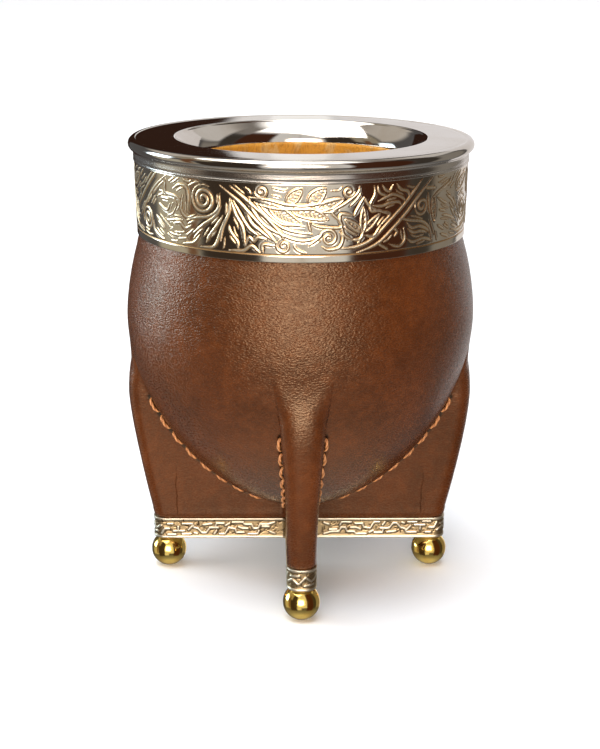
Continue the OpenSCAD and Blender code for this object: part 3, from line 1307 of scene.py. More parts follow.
@dataclass
class BallFeet:
    """Four polished brass balls, flat where they stand and where they meet the trim."""

    levels: Levels
    flat_r: float = 0.9
    segments: int = 72
    rings: int = 48

    def flatten(self, obj: bpy.types.Object, level: float, way: float) -> None:
        """Press a ball flat past a level, below it where `way` is 1 and above it where it is -1."""
        select_edges(obj, lambda a, b: max(a.z * way, b.z * way) < level * way)
        with editing(obj):
            bpy.ops.transform.resize(value=(1, 1, 0), center_override=(0, 0, level * MM))

    def build(self) -> None:
        """Model the balls one by one and dress them."""
        for side in SIDES:
            node = f"ball_{side}"
            span = Span.of(node)
            radius = (span.high.x - span.low.x) / 2
            middle = (span.low + span.high) / 2
            centre_z = math.sqrt(radius**2 - self.flat_r**2)
            deselect_all()
            bpy.ops.mesh.primitive_uv_sphere_add(
                segments=self.segments,
                ring_count=self.rings,
                radius=radius * MM,
                location=(middle.x * MM, middle.y * MM, centre_z * MM),
            )
            obj = bpy.context.object
            bpy.ops.object.transform_apply(location=True, rotation=True, scale=True)
            self.flatten(obj, span.low.z, 1.0)
            self.flatten(obj, span.high.z, -1.0)
            finish_mesh(obj, f"brass_{node}")
            smooth_by_angle(obj, 30)
            dress(obj, BrassFinish("polished_brass"), "ball", node)


# Worked metal: the engraved collar and the chiselled foot trim


def smooth_line(points: Sequence[Point], per_span: int = 7) -> Array:
    """Draw a smooth line through a few points.

    Args:
        points: The points, at least two.
        per_span: How many steps there are between two of them.

    Returns:
        The line's points.
    """
    given = np.array(points, float)
    if len(given) == 2:
        return given
    ends = np.vstack([2 * given[0] - given[1], given, 2 * given[-1] - given[-2]])
    t = np.linspace(0.0, 1.0, per_span, endpoint=False)[:, None]
    spans = []
    for k in range(1, len(ends) - 2):
        a, b, c, d = ends[k - 1 : k + 3]
        bend, twist = 2 * a - 5 * b + 4 * c - d, 3 * b - a - 3 * c + d
        spans.append(0.5 * (2 * b + (c - a) * t + bend * t**2 + twist * t**3))
    return np.vstack(spans + [given[-1:]])


def measure(s: Array, z: Array, line: Array) -> tuple[Array, Array]:
    """Measure each point of a flat band against a line.

    Args:
        s: First coordinate of the points.
        z: Second coordinate of the points.
        line: Points of the line.

    Returns:
        The distance to the line, and how far along it the nearest place is, from 0 to 1.
    """
    nearest = np.full(s.shape, 1e9)
    along = np.zeros(s.shape)
    spans = len(line) - 1
    for index, ((s0, z0), (s1, z1)) in enumerate(zip(line[:-1], line[1:])):
        ds, dz = s1 - s0, z1 - z0
        share = np.clip(((s - s0) * ds + (z - z0) * dz) / max(ds * ds + dz * dz, 1e-9), 0.0, 1.0)
        away = (s - s0 - ds * share) ** 2 + (z - z0 - dz * share) ** 2
        along = np.where(away < nearest, (index + share) / spans, along)
        nearest = np.minimum(nearest, away)
    return np.sqrt(nearest), along


@dataclass
class Relief:
    """Heights over a flat band, in millimetres, that tools raise and sink.

    The mask is 0 on plain metal, about 0.4 on tanned flanks and 1 on crests, whose bright colour is a
    painted highlight.
    """

    s: Array
    z: Array
    edge_shade: float = 0.42
    pace: float = 0.25
    height: Array = field(init=False)
    mask: Array = field(init=False)
    lines: list[Array] = field(default_factory=list)

    def __post_init__(self) -> None:
        """Start with a level, plain band."""
        self.height = np.zeros_like(self.s)
        self.mask = np.zeros_like(self.s)

    def chase(self, line: Array, width: float, rise: float, sunk: float = 0.07) -> None:
        """Raise a rounded line with a sunk channel on both sides.

        Args:
            line: Points of the line.
            width: Half of the line's width.
            rise: Height of its crest.
            sunk: Depth of the channels beside it.
        """
        self.lines.append(line)
        reach = width * 2.6
        low, high = line.min(axis=0) - reach, line.max(axis=0) + reach
        columns = np.flatnonzero((self.s[0] >= low[0]) & (self.s[0] <= high[0]))
        rows = np.flatnonzero((self.z[:, 0] >= low[1]) & (self.z[:, 0] <= high[1]))
        if not len(columns) or not len(rows):
            return
        window = (slice(rows[0], rows[-1] + 1), slice(columns[0], columns[-1] + 1))
        away, along = measure(self.s[window], self.z[window], line)
        taper = 0.35 + 0.65 * ease(np.minimum(along, 1.0 - along) / 0.22)
        away = away / (width * taper)
        crest = np.clip(1.0 - away * away, 0.0, 1.0) * rise
        channel = np.clip(1.0 - np.abs(away - 1.35) / 0.75, 0.0, 1.0) * sunk
        old = self.height[window]
        lowered = np.where(old <= 0.0, np.minimum(old, -channel), old)
        self.height[window] = np.where(crest > 0.0, np.maximum(old, crest), lowered)
        # Mask: 1 on the crest, which is painted bright as a highlight, and edge_shade on the channels beside
        # it.
        shade = np.maximum(ease((0.95 - away) / 0.4), self.edge_shade * ease((1.75 - away) / 0.6))
        self.mask[window] = np.maximum(self.mask[window], shade)

    def fill(self, count: int, gap: float, low: float, high: float, seed: int, calm: float) -> None:
        """Fill bare metal with short lines that follow the nearest line.

        Args:
            count: Number of tries.
            gap: Least distance between lines.
            low: Lowest height to fill.
            high: Greatest height to fill.
            seed: Seed of the random draws.
            calm: Half width of the stretch round the front that is filled less.
        """
        rng = np.random.default_rng(seed)
        edge = float(self.s[0, -1])
        for _ in range(count):
            here = np.array([rng.uniform(-edge, edge), rng.uniform(low, high)])
            least = gap * (1.7 if abs(here[0]) < calm else 1.0)
            path = self.grow(here, least, rng.uniform(2.5, 7.0), low, high)
            if len(path) > 9:
                self.chase(np.array(path), rng.uniform(0.17, 0.24), 0.1, 0.07)

    def grow(self, here: Array, gap: float, length: float, low: float, high: float) -> list[Array]:
        """Grow one line from a point, along the nearest line, until it is near another.

        Args:
            here: Where it starts.
            gap: Least distance between lines.
            length: Its greatest length.
            low: Lowest height it may reach.
            high: Greatest height it may reach.

        Returns:
            The line's points, fewer where there is no room.
        """
        starts = np.concatenate([line[:-1] for line in self.lines])
        steps = np.concatenate([line[1:] for line in self.lines]) - starts
        lengths = np.maximum(np.sum(steps * steps, axis=1), 1e-9)
        path: list[Array] = []
        heading = None
        edge = float(self.s[0, -1])
        while len(path) * self.pace < length:
            share = np.clip(np.sum((here - starts) * steps, axis=1) / lengths, 0.0, 1.0)
            away = np.linalg.norm(here - starts - steps * share[:, None], axis=1)
            nearest = int(np.argmin(away))
            if away[nearest] < gap or not low < here[1] < high or abs(here[0]) > edge:
                break
            path.append(here)
            along = steps[nearest] / math.sqrt(lengths[nearest])
            if heading is not None:
                along = along if float(along @ heading) > 0 else -along
                along = heading * 0.75 + along * 0.25
                along /= np.linalg.norm(along)
            heading = along
            here = here + along * self.pace
        return path


@dataclass(frozen=True)
class Cut:
    """One chased line through a few points."""

    points: tuple[Point, ...]
    width: float = 0.3
    rise: float = 0.13

    def draw(self, relief: Relief) -> None:
        """Chase the line."""
        relief.chase(smooth_line(self.points), self.width, self.rise)


@dataclass(frozen=True)
class Stem:
    """A smooth band between two chased lines, which filling lines keep out of."""

    upper: tuple[Point, ...]
    lower: tuple[Point, ...]
    width: float = 0.34

    def draw(self, relief: Relief) -> None:
        """Chase both edges and keep the band between them bare."""
        edges = [smooth_line(self.upper), smooth_line(self.lower)]
        for edge in edges:
            relief.chase(edge, self.width, 0.14)
        share = np.linspace(0.0, 1.0, 40)
        middle = np.zeros((len(share), 2))
        for edge in edges:
            for axis in (0, 1):
                middle[:, axis] += np.interp(share, np.linspace(0, 1, len(edge)), edge[:, axis]) / 2
        relief.lines.append(middle)


@dataclass(frozen=True)
class Scroll:
    """A spiral scroll about a centre."""

    centre: Point
    radius: float
    turns: float = 1.6
    start: float = 0.0
    spin: int = 1
    width: float = 0.3
    rise: float = 0.12
    shrink: float = 0.88

    def draw(self, relief: Relief) -> None:
        """Chase the spiral from outside in."""
        t = np.linspace(0.0, 1.0, 40)
        angle = math.radians(self.start) + self.spin * 2 * math.pi * self.turns * t
        radius = self.radius * (1.0 - self.shrink * t)
        line = np.stack([radius * np.cos(angle), radius * np.sin(angle)], axis=1) + np.array(self.centre)
        relief.chase(line, self.width, self.rise)


@dataclass(frozen=True)
class Feather:
    """A leaf blade: two bowed edges and a row of fine barbs."""

    base: Point
    tip: Point
    swell: float = 1.0
    bend: float = 0.0
    barbs: int = 5
    slant: float = 0.5
    edge_w: float = 0.25
    edge_rise: float = 0.12
    barb_w: float = 0.13
    barb_rise: float = 0.03
    barb_cut: float = 0.05

    def at(self, t: float, out: float) -> Array:
        """Return the point at a share of the blade's length, out to one side of its bowed midrib."""
        base, tip = np.array(self.base, float), np.array(self.tip, float)
        along = tip - base
        side = np.array([-along[1], along[0]]) / float(np.linalg.norm(along))
        return base + along * t + side * (out + self.bend * math.sin(math.pi * t))

    def half(self, t: float) -> float:
        """Return half of the blade's width at a share of its length."""
        return self.swell * math.sin(math.pi * t**0.8) ** 0.8

    def draw(self, relief: Relief) -> None:
        """Chase the blade's edges and its barbs."""
        for sign in (1.0, -1.0):
            edge = [self.at(k / 12, sign * self.half(k / 12)) for k in range(13)]
            relief.chase(np.array(edge), self.edge_w, self.edge_rise)
        for k in range(1, self.barbs + 1):
            t = k / (self.barbs + 1)
            root = self.at(t - 0.04, 0.05)
            for sign in (1.0, -1.0):
                end = self.at(min(1.0, t + self.slant * 0.16), sign * self.half(t) * 0.78)
                relief.chase(np.array([root, end]), self.barb_w, self.barb_rise, self.barb_cut)


@dataclass(frozen=True)
class IvyLeaf:
    """A broad leaf with three veined lobes and a drawn-out tip."""

    centre: Point
    width: float = 0.3
    rise: float = 0.13

    def draw(self, relief: Relief) -> None:
        """Chase the leaf's outline, its three inner lobes and its stalk."""
        outline = (
            (0.1, 7.4), (-1.3, 5.0), (-2.2, 3.3), (-5.3, 3.7), (-5.2, 1.4), (-4.4, -1.0), (-2.5, -2.2),
            (-0.9, -2.1), (0.4, -1.2), (2.6, -1.6), (4.4, 0.8), (6.7, 3.1), (3.6, 4.0), (1.5, 5.3),
            (0.1, 7.4),
        )
        for first in range(0, len(outline) - 2, 2):
            edge = [self.at(*spot) for spot in outline[first : first + 3]]
            relief.chase(smooth_line(edge), self.width, self.rise)
        root = self.at(0.1, -0.6)
        for lobe in ((0.0, 5.2), (-4.4, 2.6), (4.2, 3.4)):
            Feather(root, self.at(*lobe), 0.62, 0.0, 4, 0.9).draw(relief)
        Cut((root, self.at(-0.4, -1.8), self.at(-1.2, -3.0))).draw(relief)

    def at(self, x: float, z: float) -> Point:
        """Return the point that lies this far from the leaf's centre."""
        return self.centre[0] + x, self.centre[1] + z


# The collar's ornament, in millimetres round the collar from the front and up from its lower edge


Strokes = tuple[Cut | Stem | Feather | Scroll | IvyLeaf, ...]

FRONT_LEAVES: Strokes = (
    Cut(((-12.8, 14.6), (-8, 14.1), (-4, 13.2), (0, 13), (4, 13.5), (7, 14.2), (9, 14.4))),
    Cut(((-11, 13.2), (-7, 12.3), (-3, 12.1), (1, 12.2), (3, 12))),
    Feather((-4, 13.3), (-0.5, 16.9), 1.2),
    Feather((0.8, 13.2), (4.8, 16.9), 1.4),
    Feather((3, 12.2), (9, 14.4), 1.0),
    Feather((-8, 13), (-0.5, 8.8), 1.3, -0.4, 8),
    Feather((-3, 12), (5.5, 9.8), 1.2, 0.3, 8),
    Feather((3, 12), (7.5, 11.8), 0.5),
    Cut(((-11.3, 13.5), (-9, 11), (-6.5, 9), (-4, 7.6), (-1, 6.9), (1.8, 6.6))),
    Cut(((0.8, 9.6), (1.5, 7))),
    Cut(((-10, 13), (-7.5, 10.5), (-5, 8.8), (-2, 8.6), (0, 8.3))),
    Cut(((-12.5, 14.5), (-11.5, 11.5), (-9, 8.5), (-6, 6.8), (-2, 5.3), (1, 5.2), (4, 6.4))),
    Stem(
        ((-19.5, 16.8), (-15, 13.5), (-12, 10.5), (-9.5, 8), (-7.5, 6), (-6.2, 4.4)),
        ((-17, 16.8), (-13, 13.8), (-9, 10.5), (-5.5, 7), (-4.5, 5.2)),
    ),
    Cut((
        (12.5, 17), (12, 15.5), (9.5, 13.5), (6.3, 11.5), (8, 9.5), (8.3, 8), (5.2, 8), (2.5, 8.5), (1, 9.6),
    )),
    Cut(((8, 7), (8.8, 5.5), (8, 3.5), (5.5, 3), (4, 3.8))),
    Cut(((-2.3, 4.2), (-1.5, 3), (0.5, 2.2))),
    Cut(((1, 4), (3, 5.5), (4, 6.5))),
    Scroll((-4.6, 3.8), 1.8, 1.6, 90.0),
    Scroll((5.6, 5.6), 2.2, 1.7, 200.0, -1),
    Scroll((-9.7, 15.9), 1.5, 1.4, 180.0),
    Scroll((10, 15.9), 1.3, 1.4, 0.0, -1),
)

RIGHT_LEAVES: Strokes = (
    IvyLeaf((13.5, 7.2)),
    Stem(
        ((7, 3.2), (12, 3.4), (16, 5), (20, 8.5), (24, 12), (27, 15), (29.5, 17.5)),
        ((12, 2), (17, 3.7), (21, 6.8), (25, 10.3), (28, 13.3), (33, 17.5)),
    ),
    Cut(((16, 17), (16.2, 15), (15.2, 13), (15.5, 11.3), (17.5, 11.3), (19.8, 10.2))),
    Cut(((15.2, 12.6), (18, 12.3), (20, 12.8), (22.3, 12.9), (23.3, 12))),
    Cut(((17, 13.4), (19.2, 14.2), (21, 14.7), (23.4, 13.8), (24.4, 12.7))),
    Cut(((16.8, 17), (17.5, 15.3), (19.2, 14.6))),
    Cut(((18, 17), (19, 15.8), (20, 15.6), (20.8, 17))),
    Cut(((21.8, 17), (23, 15.7), (25, 15), (25.6, 13.6))),
    Scroll((29.5, 11.2), 2.3, 1.7, 150.0),
    Cut(((22.8, 9), (26, 8.3), (30, 7.5), (32.5, 5.5), (33.6, 2.4))),
    Cut(((24.8, 8), (26.5, 6.5), (29, 6.6), (31.5, 5.6), (32.5, 4.5))),
    Cut(((25.2, 6.5), (27, 5.4), (29.5, 5.4), (31.5, 4.8))),
    Cut(((25, 4.2), (27, 3.2), (30, 3.6), (32, 3.2), (33.5, 2.5))),
    Cut(((24, 7), (24.6, 4.2), (23.5, 2.8), (22, 2.8), (20, 3.5))),
    Cut(((21.5, 7), (22.3, 5.9), (21.5, 5))),
    Cut(((17, 4), (19, 2.8), (20, 2.2))),
    Cut(((31.5, 14), (32, 11), (32.5, 9))),
    Feather((33.5, 13), (34.2, 6.8), 0.8),
    Cut(((30.5, 15.2), (34.2, 14.8))),
    Cut(((33, 12.5), (36, 14), (40, 15.3), (41, 16.5))),
    Cut(((35, 12.5), (38, 11), (39.5, 10.5))),
    Cut(((36, 9.5), (39, 8.8))),
    Cut(((39, 12.6), (42, 11), (44, 9))),
    Cut(((37.5, 8), (40, 7.5), (44.5, 6))),
    Cut(((35.5, 6), (38.5, 4.5))),
    Cut(((37, 3.7), (41, 2.4))),
    Scroll((49.5, 8), 3.2, 2.2, 120.0),
    Feather((44, 13), (52, 16), 1.2),
    Cut(((42, 4), (47, 3.2), (53, 4.5), (58, 9), (61, 14), (62, 17)), 0.36, 0.14),
    Feather((56, 10), (54.6, 16.5), 1.0),
    Cut(((56, 3), (59, 5), (61.5, 8.5))),
)

LEFT_LEAVES: Strokes = (
    Stem(
        ((-50, 6), (-45, 10.5), (-41, 14), (-36, 17.2)),
        ((-52, 8), (-46, 12.8), (-42, 16), (-40, 17.5)),
    ),
    Scroll((-24, 13.2), 3.5, 2.5, 60.0),
    Cut(((-19.5, 15), (-20, 11.5), (-22.5, 9.5), (-26, 8.8), (-29, 7.9))),
    Cut(((-19.2, 12), (-21, 9.5), (-24, 7.5), (-27, 5.2))),
    Cut(((-18.8, 10), (-20.5, 7.5), (-22.5, 5), (-23.3, 3.4))),
    Cut(((-18.5, 9), (-20, 5), (-21.5, 2.6), (-25, 2.3))),
    Cut(((-17, 14), (-17.2, 11), (-19, 7), (-19.5, 4))),
    Cut(((-16.8, 13.8), (-15.7, 10.5), (-14, 7.5), (-13.5, 3.5))),
    Cut(((-16.3, 13.6), (-14.5, 10.5), (-12.5, 7.5), (-10.5, 6.1))),
    Cut(((-13.3, 12), (-12, 8.8), (-9.5, 6.8), (-7, 5))),
    Cut(((-17.3, 8), (-17, 6.5), (-15.3, 4.3), (-15.2, 2.8))),
    Cut(((-17.5, 2.3), (-14, 2.4), (-12, 3.6), (-10, 2.1))),
    Cut(((-13.5, 3.5), (-12.6, 5.5), (-11.5, 4.7), (-10.5, 5.6), (-8.5, 5.2))),
    Cut(((-9.4, 2.1), (-9.3, 4), (-6.5, 3.8))),
    Cut(((-36, 16.5), (-36.2, 13.5), (-33, 13), (-31, 12.5))),
    Cut(((-30, 13.5), (-30.5, 10), (-28.5, 8.6), (-26.2, 9.5))),
    Cut(((-33.5, 6.5), (-31, 7), (-29.5, 6), (-27.5, 6.8))),
    Cut(((-30.5, 2.3), (-27, 3), (-25, 5))),
    Cut(((-39, 10.5), (-36, 9.3), (-34.5, 11))),
    Cut(((-40.5, 7.5), (-38, 6), (-36.5, 5))),
    Cut(((-42, 6), (-41.5, 4), (-39, 2.6), (-37, 2.3))),
    Cut(((-38, 12), (-35, 12))),
    Cut(((-33.5, 14.5), (-31, 15.8), (-28.5, 15), (-28.3, 10))),
    Scroll((-45, 6), 3.0, 2.1, 200.0, -1),
    Feather((-57, 13), (-50, 15.8), 1.2),
    Cut(((-62, 17), (-61, 12), (-57, 7), (-53, 3.4), (-48, 2.4)), 0.36, 0.14),
    Scroll((-57.5, 4.6), 2.0, 1.6, 40.0),
)


@dataclass
class Collar:
    """The engraved collar, as a front half and a back half."""

    levels: Levels
    thickness: float = 0.8
    border_h: float = 1.75
    step: float = 0.16
    crest_room: float = 0.14
    fill_tries: int = 2600
    fill_gap: float = 0.62
    calm: float = 12.0
    seed: int = 5
    edge: float = 0.06
    groove: float = 0.2

    @property
    def low_r(self) -> float:
        """Radius at the lower edge."""
        return self.levels.collar_top_r - self.levels.collar_flare

    @property
    def half_length(self) -> float:
        """Half of the length of one half of the collar, along its middle radius."""
        return math.pi / 2 * (self.low_r + self.levels.collar_top_r) / 2

    def relief(self, s: Array, z: Array) -> Relief:
        """Engrave the leaves and scrolls.

        Args:
            s: Distance round the collar of each point.
            z: Height of each point above the lower edge.

        Returns:
            The worked band.
        """
        relief = Relief(s, z)
        for mark in (*FRONT_LEAVES, *RIGHT_LEAVES, *LEFT_LEAVES):
            mark.draw(relief)
        top = self.levels.neck_z - self.levels.collar_z
        relief.fill(self.fill_tries, self.fill_gap, self.border_h + 0.5, top - 0.4, self.seed, self.calm)
        inside = ease((z - self.border_h - 0.15) / 0.2) * ease((top - 0.15 - z) / 0.15)
        relief.height *= inside
        relief.mask *= inside
        away = np.abs(z - self.border_h) / self.groove
        relief.height -= self.groove * np.clip(1.0 - away, 0.0, 1.0)
        relief.mask = np.maximum(relief.mask, relief.edge_shade * np.clip(1.5 - away, 0.0, 1.0))
        return relief

    def build(self) -> None:
        """Model the front half, copy it to the back and dress both."""
        height = self.levels.neck_z - self.levels.collar_z
        half = self.half_length
        columns = int(2 * half / self.step) + 1
        across = np.linspace(-half, half, columns)
        rows = np.linspace(0.2, height - 0.2, int(height / self.step))
        up = np.concatenate([[0.0, self.edge], rows, [height - self.edge, height]])
        relief = self.relief(*np.meshgrid(across, up))
        radius = self.low_r + self.levels.collar_flare * relief.z / height - self.crest_room + relief.height
        radius[0] -= self.edge
        radius[-1] -= self.edge
        pad = np.zeros((1, columns))
        inner = pad + self.low_r - self.thickness
        radius = np.vstack([inner, radius, inner + self.levels.collar_flare, inner])
        z = np.vstack([pad, relief.z, pad + height, pad]) + self.levels.collar_z
        angle = np.repeat([across / half * math.pi / 2], len(z), 0)
        points = np.stack([radius * np.sin(angle), -radius * np.cos(angle), z], axis=2)
        obj = bent_sheet(points, {"cut": np.vstack([pad, relief.mask, pad, pad])})
        close_holes(obj, lambda a: abs(a.y) < 0.02 and a.x > 0, lambda a: abs(a.y) < 0.02 and a.x < 0)
        finish_mesh(obj, "collar_front_half")
        smooth_by_angle(obj, 70)
        bpy.ops.object.duplicate(linked=False)
        copy = bpy.context.object
        copy.rotation_euler = (0.0, 0.0, math.pi)
        bpy.ops.object.transform_apply(location=True, rotation=True, scale=True)
        copy.name = copy.data.name = "collar_back_half"
        for piece in (obj, copy):
            dress(piece, EngravedFinish("engraved_silver"), "collar", "collar")


# The foot trim's fretwork, in millimetres inward from an arm's end and up from the trim's lower edge


FRET: tuple[tuple[Point, ...], ...] = (
    ((5.2, 1.9), (7.9, 1.9)),
    ((6.4, 1.9), (6.4, 3.1)),
    ((3.7, 0.95), (5.7, 0.95)),
    ((7.4, 1.1), (9.6, 1.1)),
    ((3.7, 3.9), (5.0, 3.9)),
    ((7.5, 3.9), (10, 3.9), (10.4, 2.9), (11.5, 2.6), (12.5, 1.4), (13.5, 1.4), (14.5, 2.8), (16.7, 2.8)),
    ((16, 3.2), (16.2, 4), (18.2, 4)),
    ((17, 1.1), (18.4, 1.1), (19.4, 2.8), (21.1, 2.5), (21.4, 1.5), (23.3, 1.5)),
    (
        (20.4, 4.3), (23.1, 4.3), (23.5, 3.7), (25.3, 3.7), (25.8, 2.6), (27, 2.6), (27.5, 3.7),
        (29.4, 3.7), (31.3, 4.3),
    ),
    ((28, 3.1), (29.9, 3.1)),
    ((30.1, 1.7), (31.3, 1.2)),
    ((9.0, 2.2), (9.8, 3.1)),
    ((12.8, 3.6), (15.0, 3.9)),
    ((10.6, 1.4), (11.2, 1.2)),
    ((15.6, 1.1), (16.2, 1.9)),
    ((24.4, 1.1), (26.8, 1.1), (27.2, 1.9)),
    ((18.6, 3.4), (19.6, 4.0)),
    ((22.0, 3.0), (23.0, 2.6), (24.4, 2.6)),
    ((0.6, 3.6), (1.6, 2.4), (2.6, 3.4)),
    ((0.4, 1.4), (2.0, 1.7)),
    ((2.7, 1.2), (3.2, 2.6), (4.1, 2.6)),
    ((-0.5, 1.9), (0.0, 2.7), (0.5, 3.5)),
)


@dataclass
class FootTrim:
    """The silver shoe under the fins: a cross-shaped band with raised borders and fretwork."""

    levels: Levels
    width: float = 7.3
    corner_r: float = 1.0
    nose: float = 3.6
    end_power: float = 2.3
    edge_h: float = 0.6
    edge_out: float = 0.2
    wall_t: float = 0.7
    step: float = 0.15
    nose_run: float = 2.3
    marks: int = 420
    fine_rows: int = 72
    end_darkening: float = 0.35
    seed: int = 11

    def arm(self) -> Array:
        """Return an eighth of the outline, from the middle of an arm's end to its inner corner."""
        half, reach = self.width / 2, self.levels.trim_reach
        turn = np.linspace(0.0, math.pi / 2, 60)
        power = 2 / self.end_power
        nose_x = reach - self.nose + self.nose * np.cos(turn) ** power
        nose_y = half * np.sin(turn) ** power
        corner = half + self.corner_r
        side_x = np.linspace(reach - self.nose, corner, 40)[1:-1]
        bend = np.radians(np.linspace(270.0, 225.0, 12))
        x = np.concatenate([nose_x, side_x, corner + self.corner_r * np.cos(bend)])
        y = np.concatenate([nose_y, np.full(len(side_x), half), corner + self.corner_r * np.sin(bend)])
        return np.stack([x, y], axis=1)

    def outline(self) -> tuple[Array, Array, float]:
        """Return the outline's points, each one's distance from its arm's end, and an arm's run."""
        line = self.arm()
        lengths = np.concatenate([[0.0], np.cumsum(np.linalg.norm(np.diff(line, axis=0), axis=1))])
        run = float(lengths[-1])
        count = int(run / self.step)
        at = np.linspace(0.0, run, count + 1)
        side = np.stack([np.interp(at, lengths, line[:, 0]), np.interp(at, lengths, line[:, 1])], axis=1)
        below = side[:0:-1] * np.array([1.0, -1.0])
        arm = np.concatenate([below, side[:-1]])
        run_at = np.concatenate([-at[:0:-1], at[:-1]])
        points = np.concatenate([arm @ turn[:2, :2] for turn in quarter_turns()])
        return points, np.tile(run_at, 4), run

    def relief(self, runs: Array, up: Array, run: float) -> tuple[Relief, Array]:
        """Chisel one arm's fretwork and spread it over the four arms.

        Args:
            runs: Distance of each point of the outline from its arm's end.
            up: Heights of the rows above the lower edge.
            run: Length of an arm's outline from its end to its inner corner.

        Returns:
            The worked band, and a mask of painted shade in the dents, along the bars' feet and in the border
            grooves, which is also darker towards each arm's end.
        """
        height = float(up[-1])
        fine = self.step / 1.5
        across = np.arange(-run, run + self.step, fine)
        s, z = np.meshgrid(across, np.linspace(0.0, height, self.fine_rows + 1))
        band = Relief(s, z)
        rng = np.random.default_rng(self.seed)
        dents = np.full(s.shape, 1e9)
        margin = self.edge_h + 0.3
        for _ in range(self.marks):
            place = np.array([rng.uniform(-run, run), rng.uniform(margin, height - margin)])
            turn = rng.choice([0.0, math.pi / 2, 0.6])
            end = place + rng.uniform(0.3, 0.9) * np.array([math.cos(turn), math.sin(turn)])
            dents = np.minimum(dents, measure(s, z, np.array([place, end]))[0])
        bars = np.full(s.shape, 1e9)
        for line in FRET:
            told = np.array([(u + self.nose_run if u > self.nose else u * 1.6, v) for u, v in line])
            flipped = np.stack([-told[:, 0], height - told[:, 1]], axis=1)
            bars = np.minimum(bars, np.minimum(measure(s, z, told)[0], measure(s, z, flipped)[0]))
        top = ease((0.33 - bars) / 0.12)
        dent = ease((0.15 - dents) / 0.1) * (1.0 - ease((0.6 - bars) / 0.15))
        foot = np.clip(1.0 - np.abs(bars - 0.42) / 0.13, 0.0, 1.0)
        edge = np.minimum(z, height - z)
        border = ease((self.edge_h - edge) / 0.16 + 0.5)
        groove = np.clip(1.0 - np.abs(edge - self.edge_h - 0.1) / 0.12, 0.0, 1.0)
        ground = -self.edge_out - 0.1 * dent
        band.height = ground + (self.edge_out - 0.01) * top
        crown = 0.04 * (np.abs(edge - self.edge_h / 2) / 0.4) ** 2
        band.height = band.height * (1.0 - border) - border * crown
        # Bars and borders take the crest colour, a painted highlight; the ground takes the tan flank colour.
        worked = np.where(top > 0.3, band.edge_shade + (1.0 - band.edge_shade) * top, band.edge_shade)
        band.mask = worked * (1.0 - border) + border
        # Painted shade: darker in the dents, along the feet of the bars and in the border grooves.
        shadow = np.maximum.reduce([dent * 0.85, foot * 0.9 * (1.0 - top), groove * 0.7])
        # Darker towards each arm's end, and less so on the bars and borders.
        worn = self.end_darkening * ease((4.6 - np.abs(s)) / 1.5) * (1.0 - 0.6 * np.maximum(top, border))
        shadow = np.maximum(shadow, worn)
        index = np.clip(np.round((runs - across[0]) / fine).astype(int), 0, len(across) - 1)
        level = np.clip(np.round(up / height * self.fine_rows).astype(int), 0, self.fine_rows)
        result = Relief(*np.meshgrid(runs, up))
        spread = np.ix_(level, index)
        result.height, result.mask = band.height[spread], band.mask[spread]
        return result, shadow[spread]

    @staticmethod
    def joined(rows: Array) -> Array:
        """Return rows whose first column is repeated as their last."""
        return np.concatenate([rows, rows[:, :1]], axis=1)

    def build(self) -> None:
        """Model the shoe and dress it."""
        points, runs, run = self.outline()
        along = np.roll(points, -1, 0) - np.roll(points, 1, 0)
        normal = np.stack([along[:, 1], -along[:, 0]], axis=1)
        normal /= np.linalg.norm(normal, axis=1)[:, None]
        height = self.levels.trim_top - self.levels.sole_z
        up = np.concatenate([[0.0, 0.05], np.linspace(0.15, height - 0.15, 35), [height - 0.05, height]])
        relief, shadow = self.relief(runs, up, run)
        out = relief.height.copy()
        out[0] -= 0.06
        out[-1] -= 0.06
        out = np.vstack([out, np.full((2, len(points)), -self.wall_t - self.edge_out)])
        z = np.concatenate([up, [height, self.wall_t]]) + self.levels.sole_z
        rows = []
        for offset, level in zip(out, z):
            flat = points + normal * offset[:, None]
            rows.append(np.column_stack([flat, np.full(len(flat), level)]))
        pad = np.zeros((2, len(points)))
        # The second mask carries the painted shade and the darkening towards the arms' ends.
        masks = {"cut": np.vstack([relief.mask, pad]), "shade_and_end_darkening": np.vstack([shadow, pad])}
        masks = {name: self.joined(mask) for name, mask in masks.items()}
        obj = bent_sheet(self.joined(np.array(rows)), masks)
        close_holes(obj, lambda a: abs(a.z - z[0]) < 0.005, lambda a: abs(a.z - z[-1]) < 0.005)
        finish_mesh(obj, "foot_trim_band")
        smooth_by_angle(obj, 65)
        finish = EngravedFinish(
            "chiselled_silver",
            field=srgb(226, 218, 194),
            flank=srgb(192, 170, 130),
            crest=srgb(232, 224, 202),
            field_rough=0.2,
            worked_rough=0.22,
            stain=0.26,
        )
        dress(obj, finish, "foot_trim", "foot_trim")


# Studio


@dataclass(frozen=True)
class Glow:
    """A patch of the surroundings: a light panel, a wall or a dark flag.

    Directions are degrees: round from the front, + to the right, and up from the horizon.
    """

    left: float
    right: float
    low: float
    high: float
    colour: Colour
    strength: float
    soft: float = 4.0

    @property
    def light(self) -> Colour:
        """The colour at its full strength."""
        return tuple(c * self.strength for c in self.colour[:3]) + (1.0,)


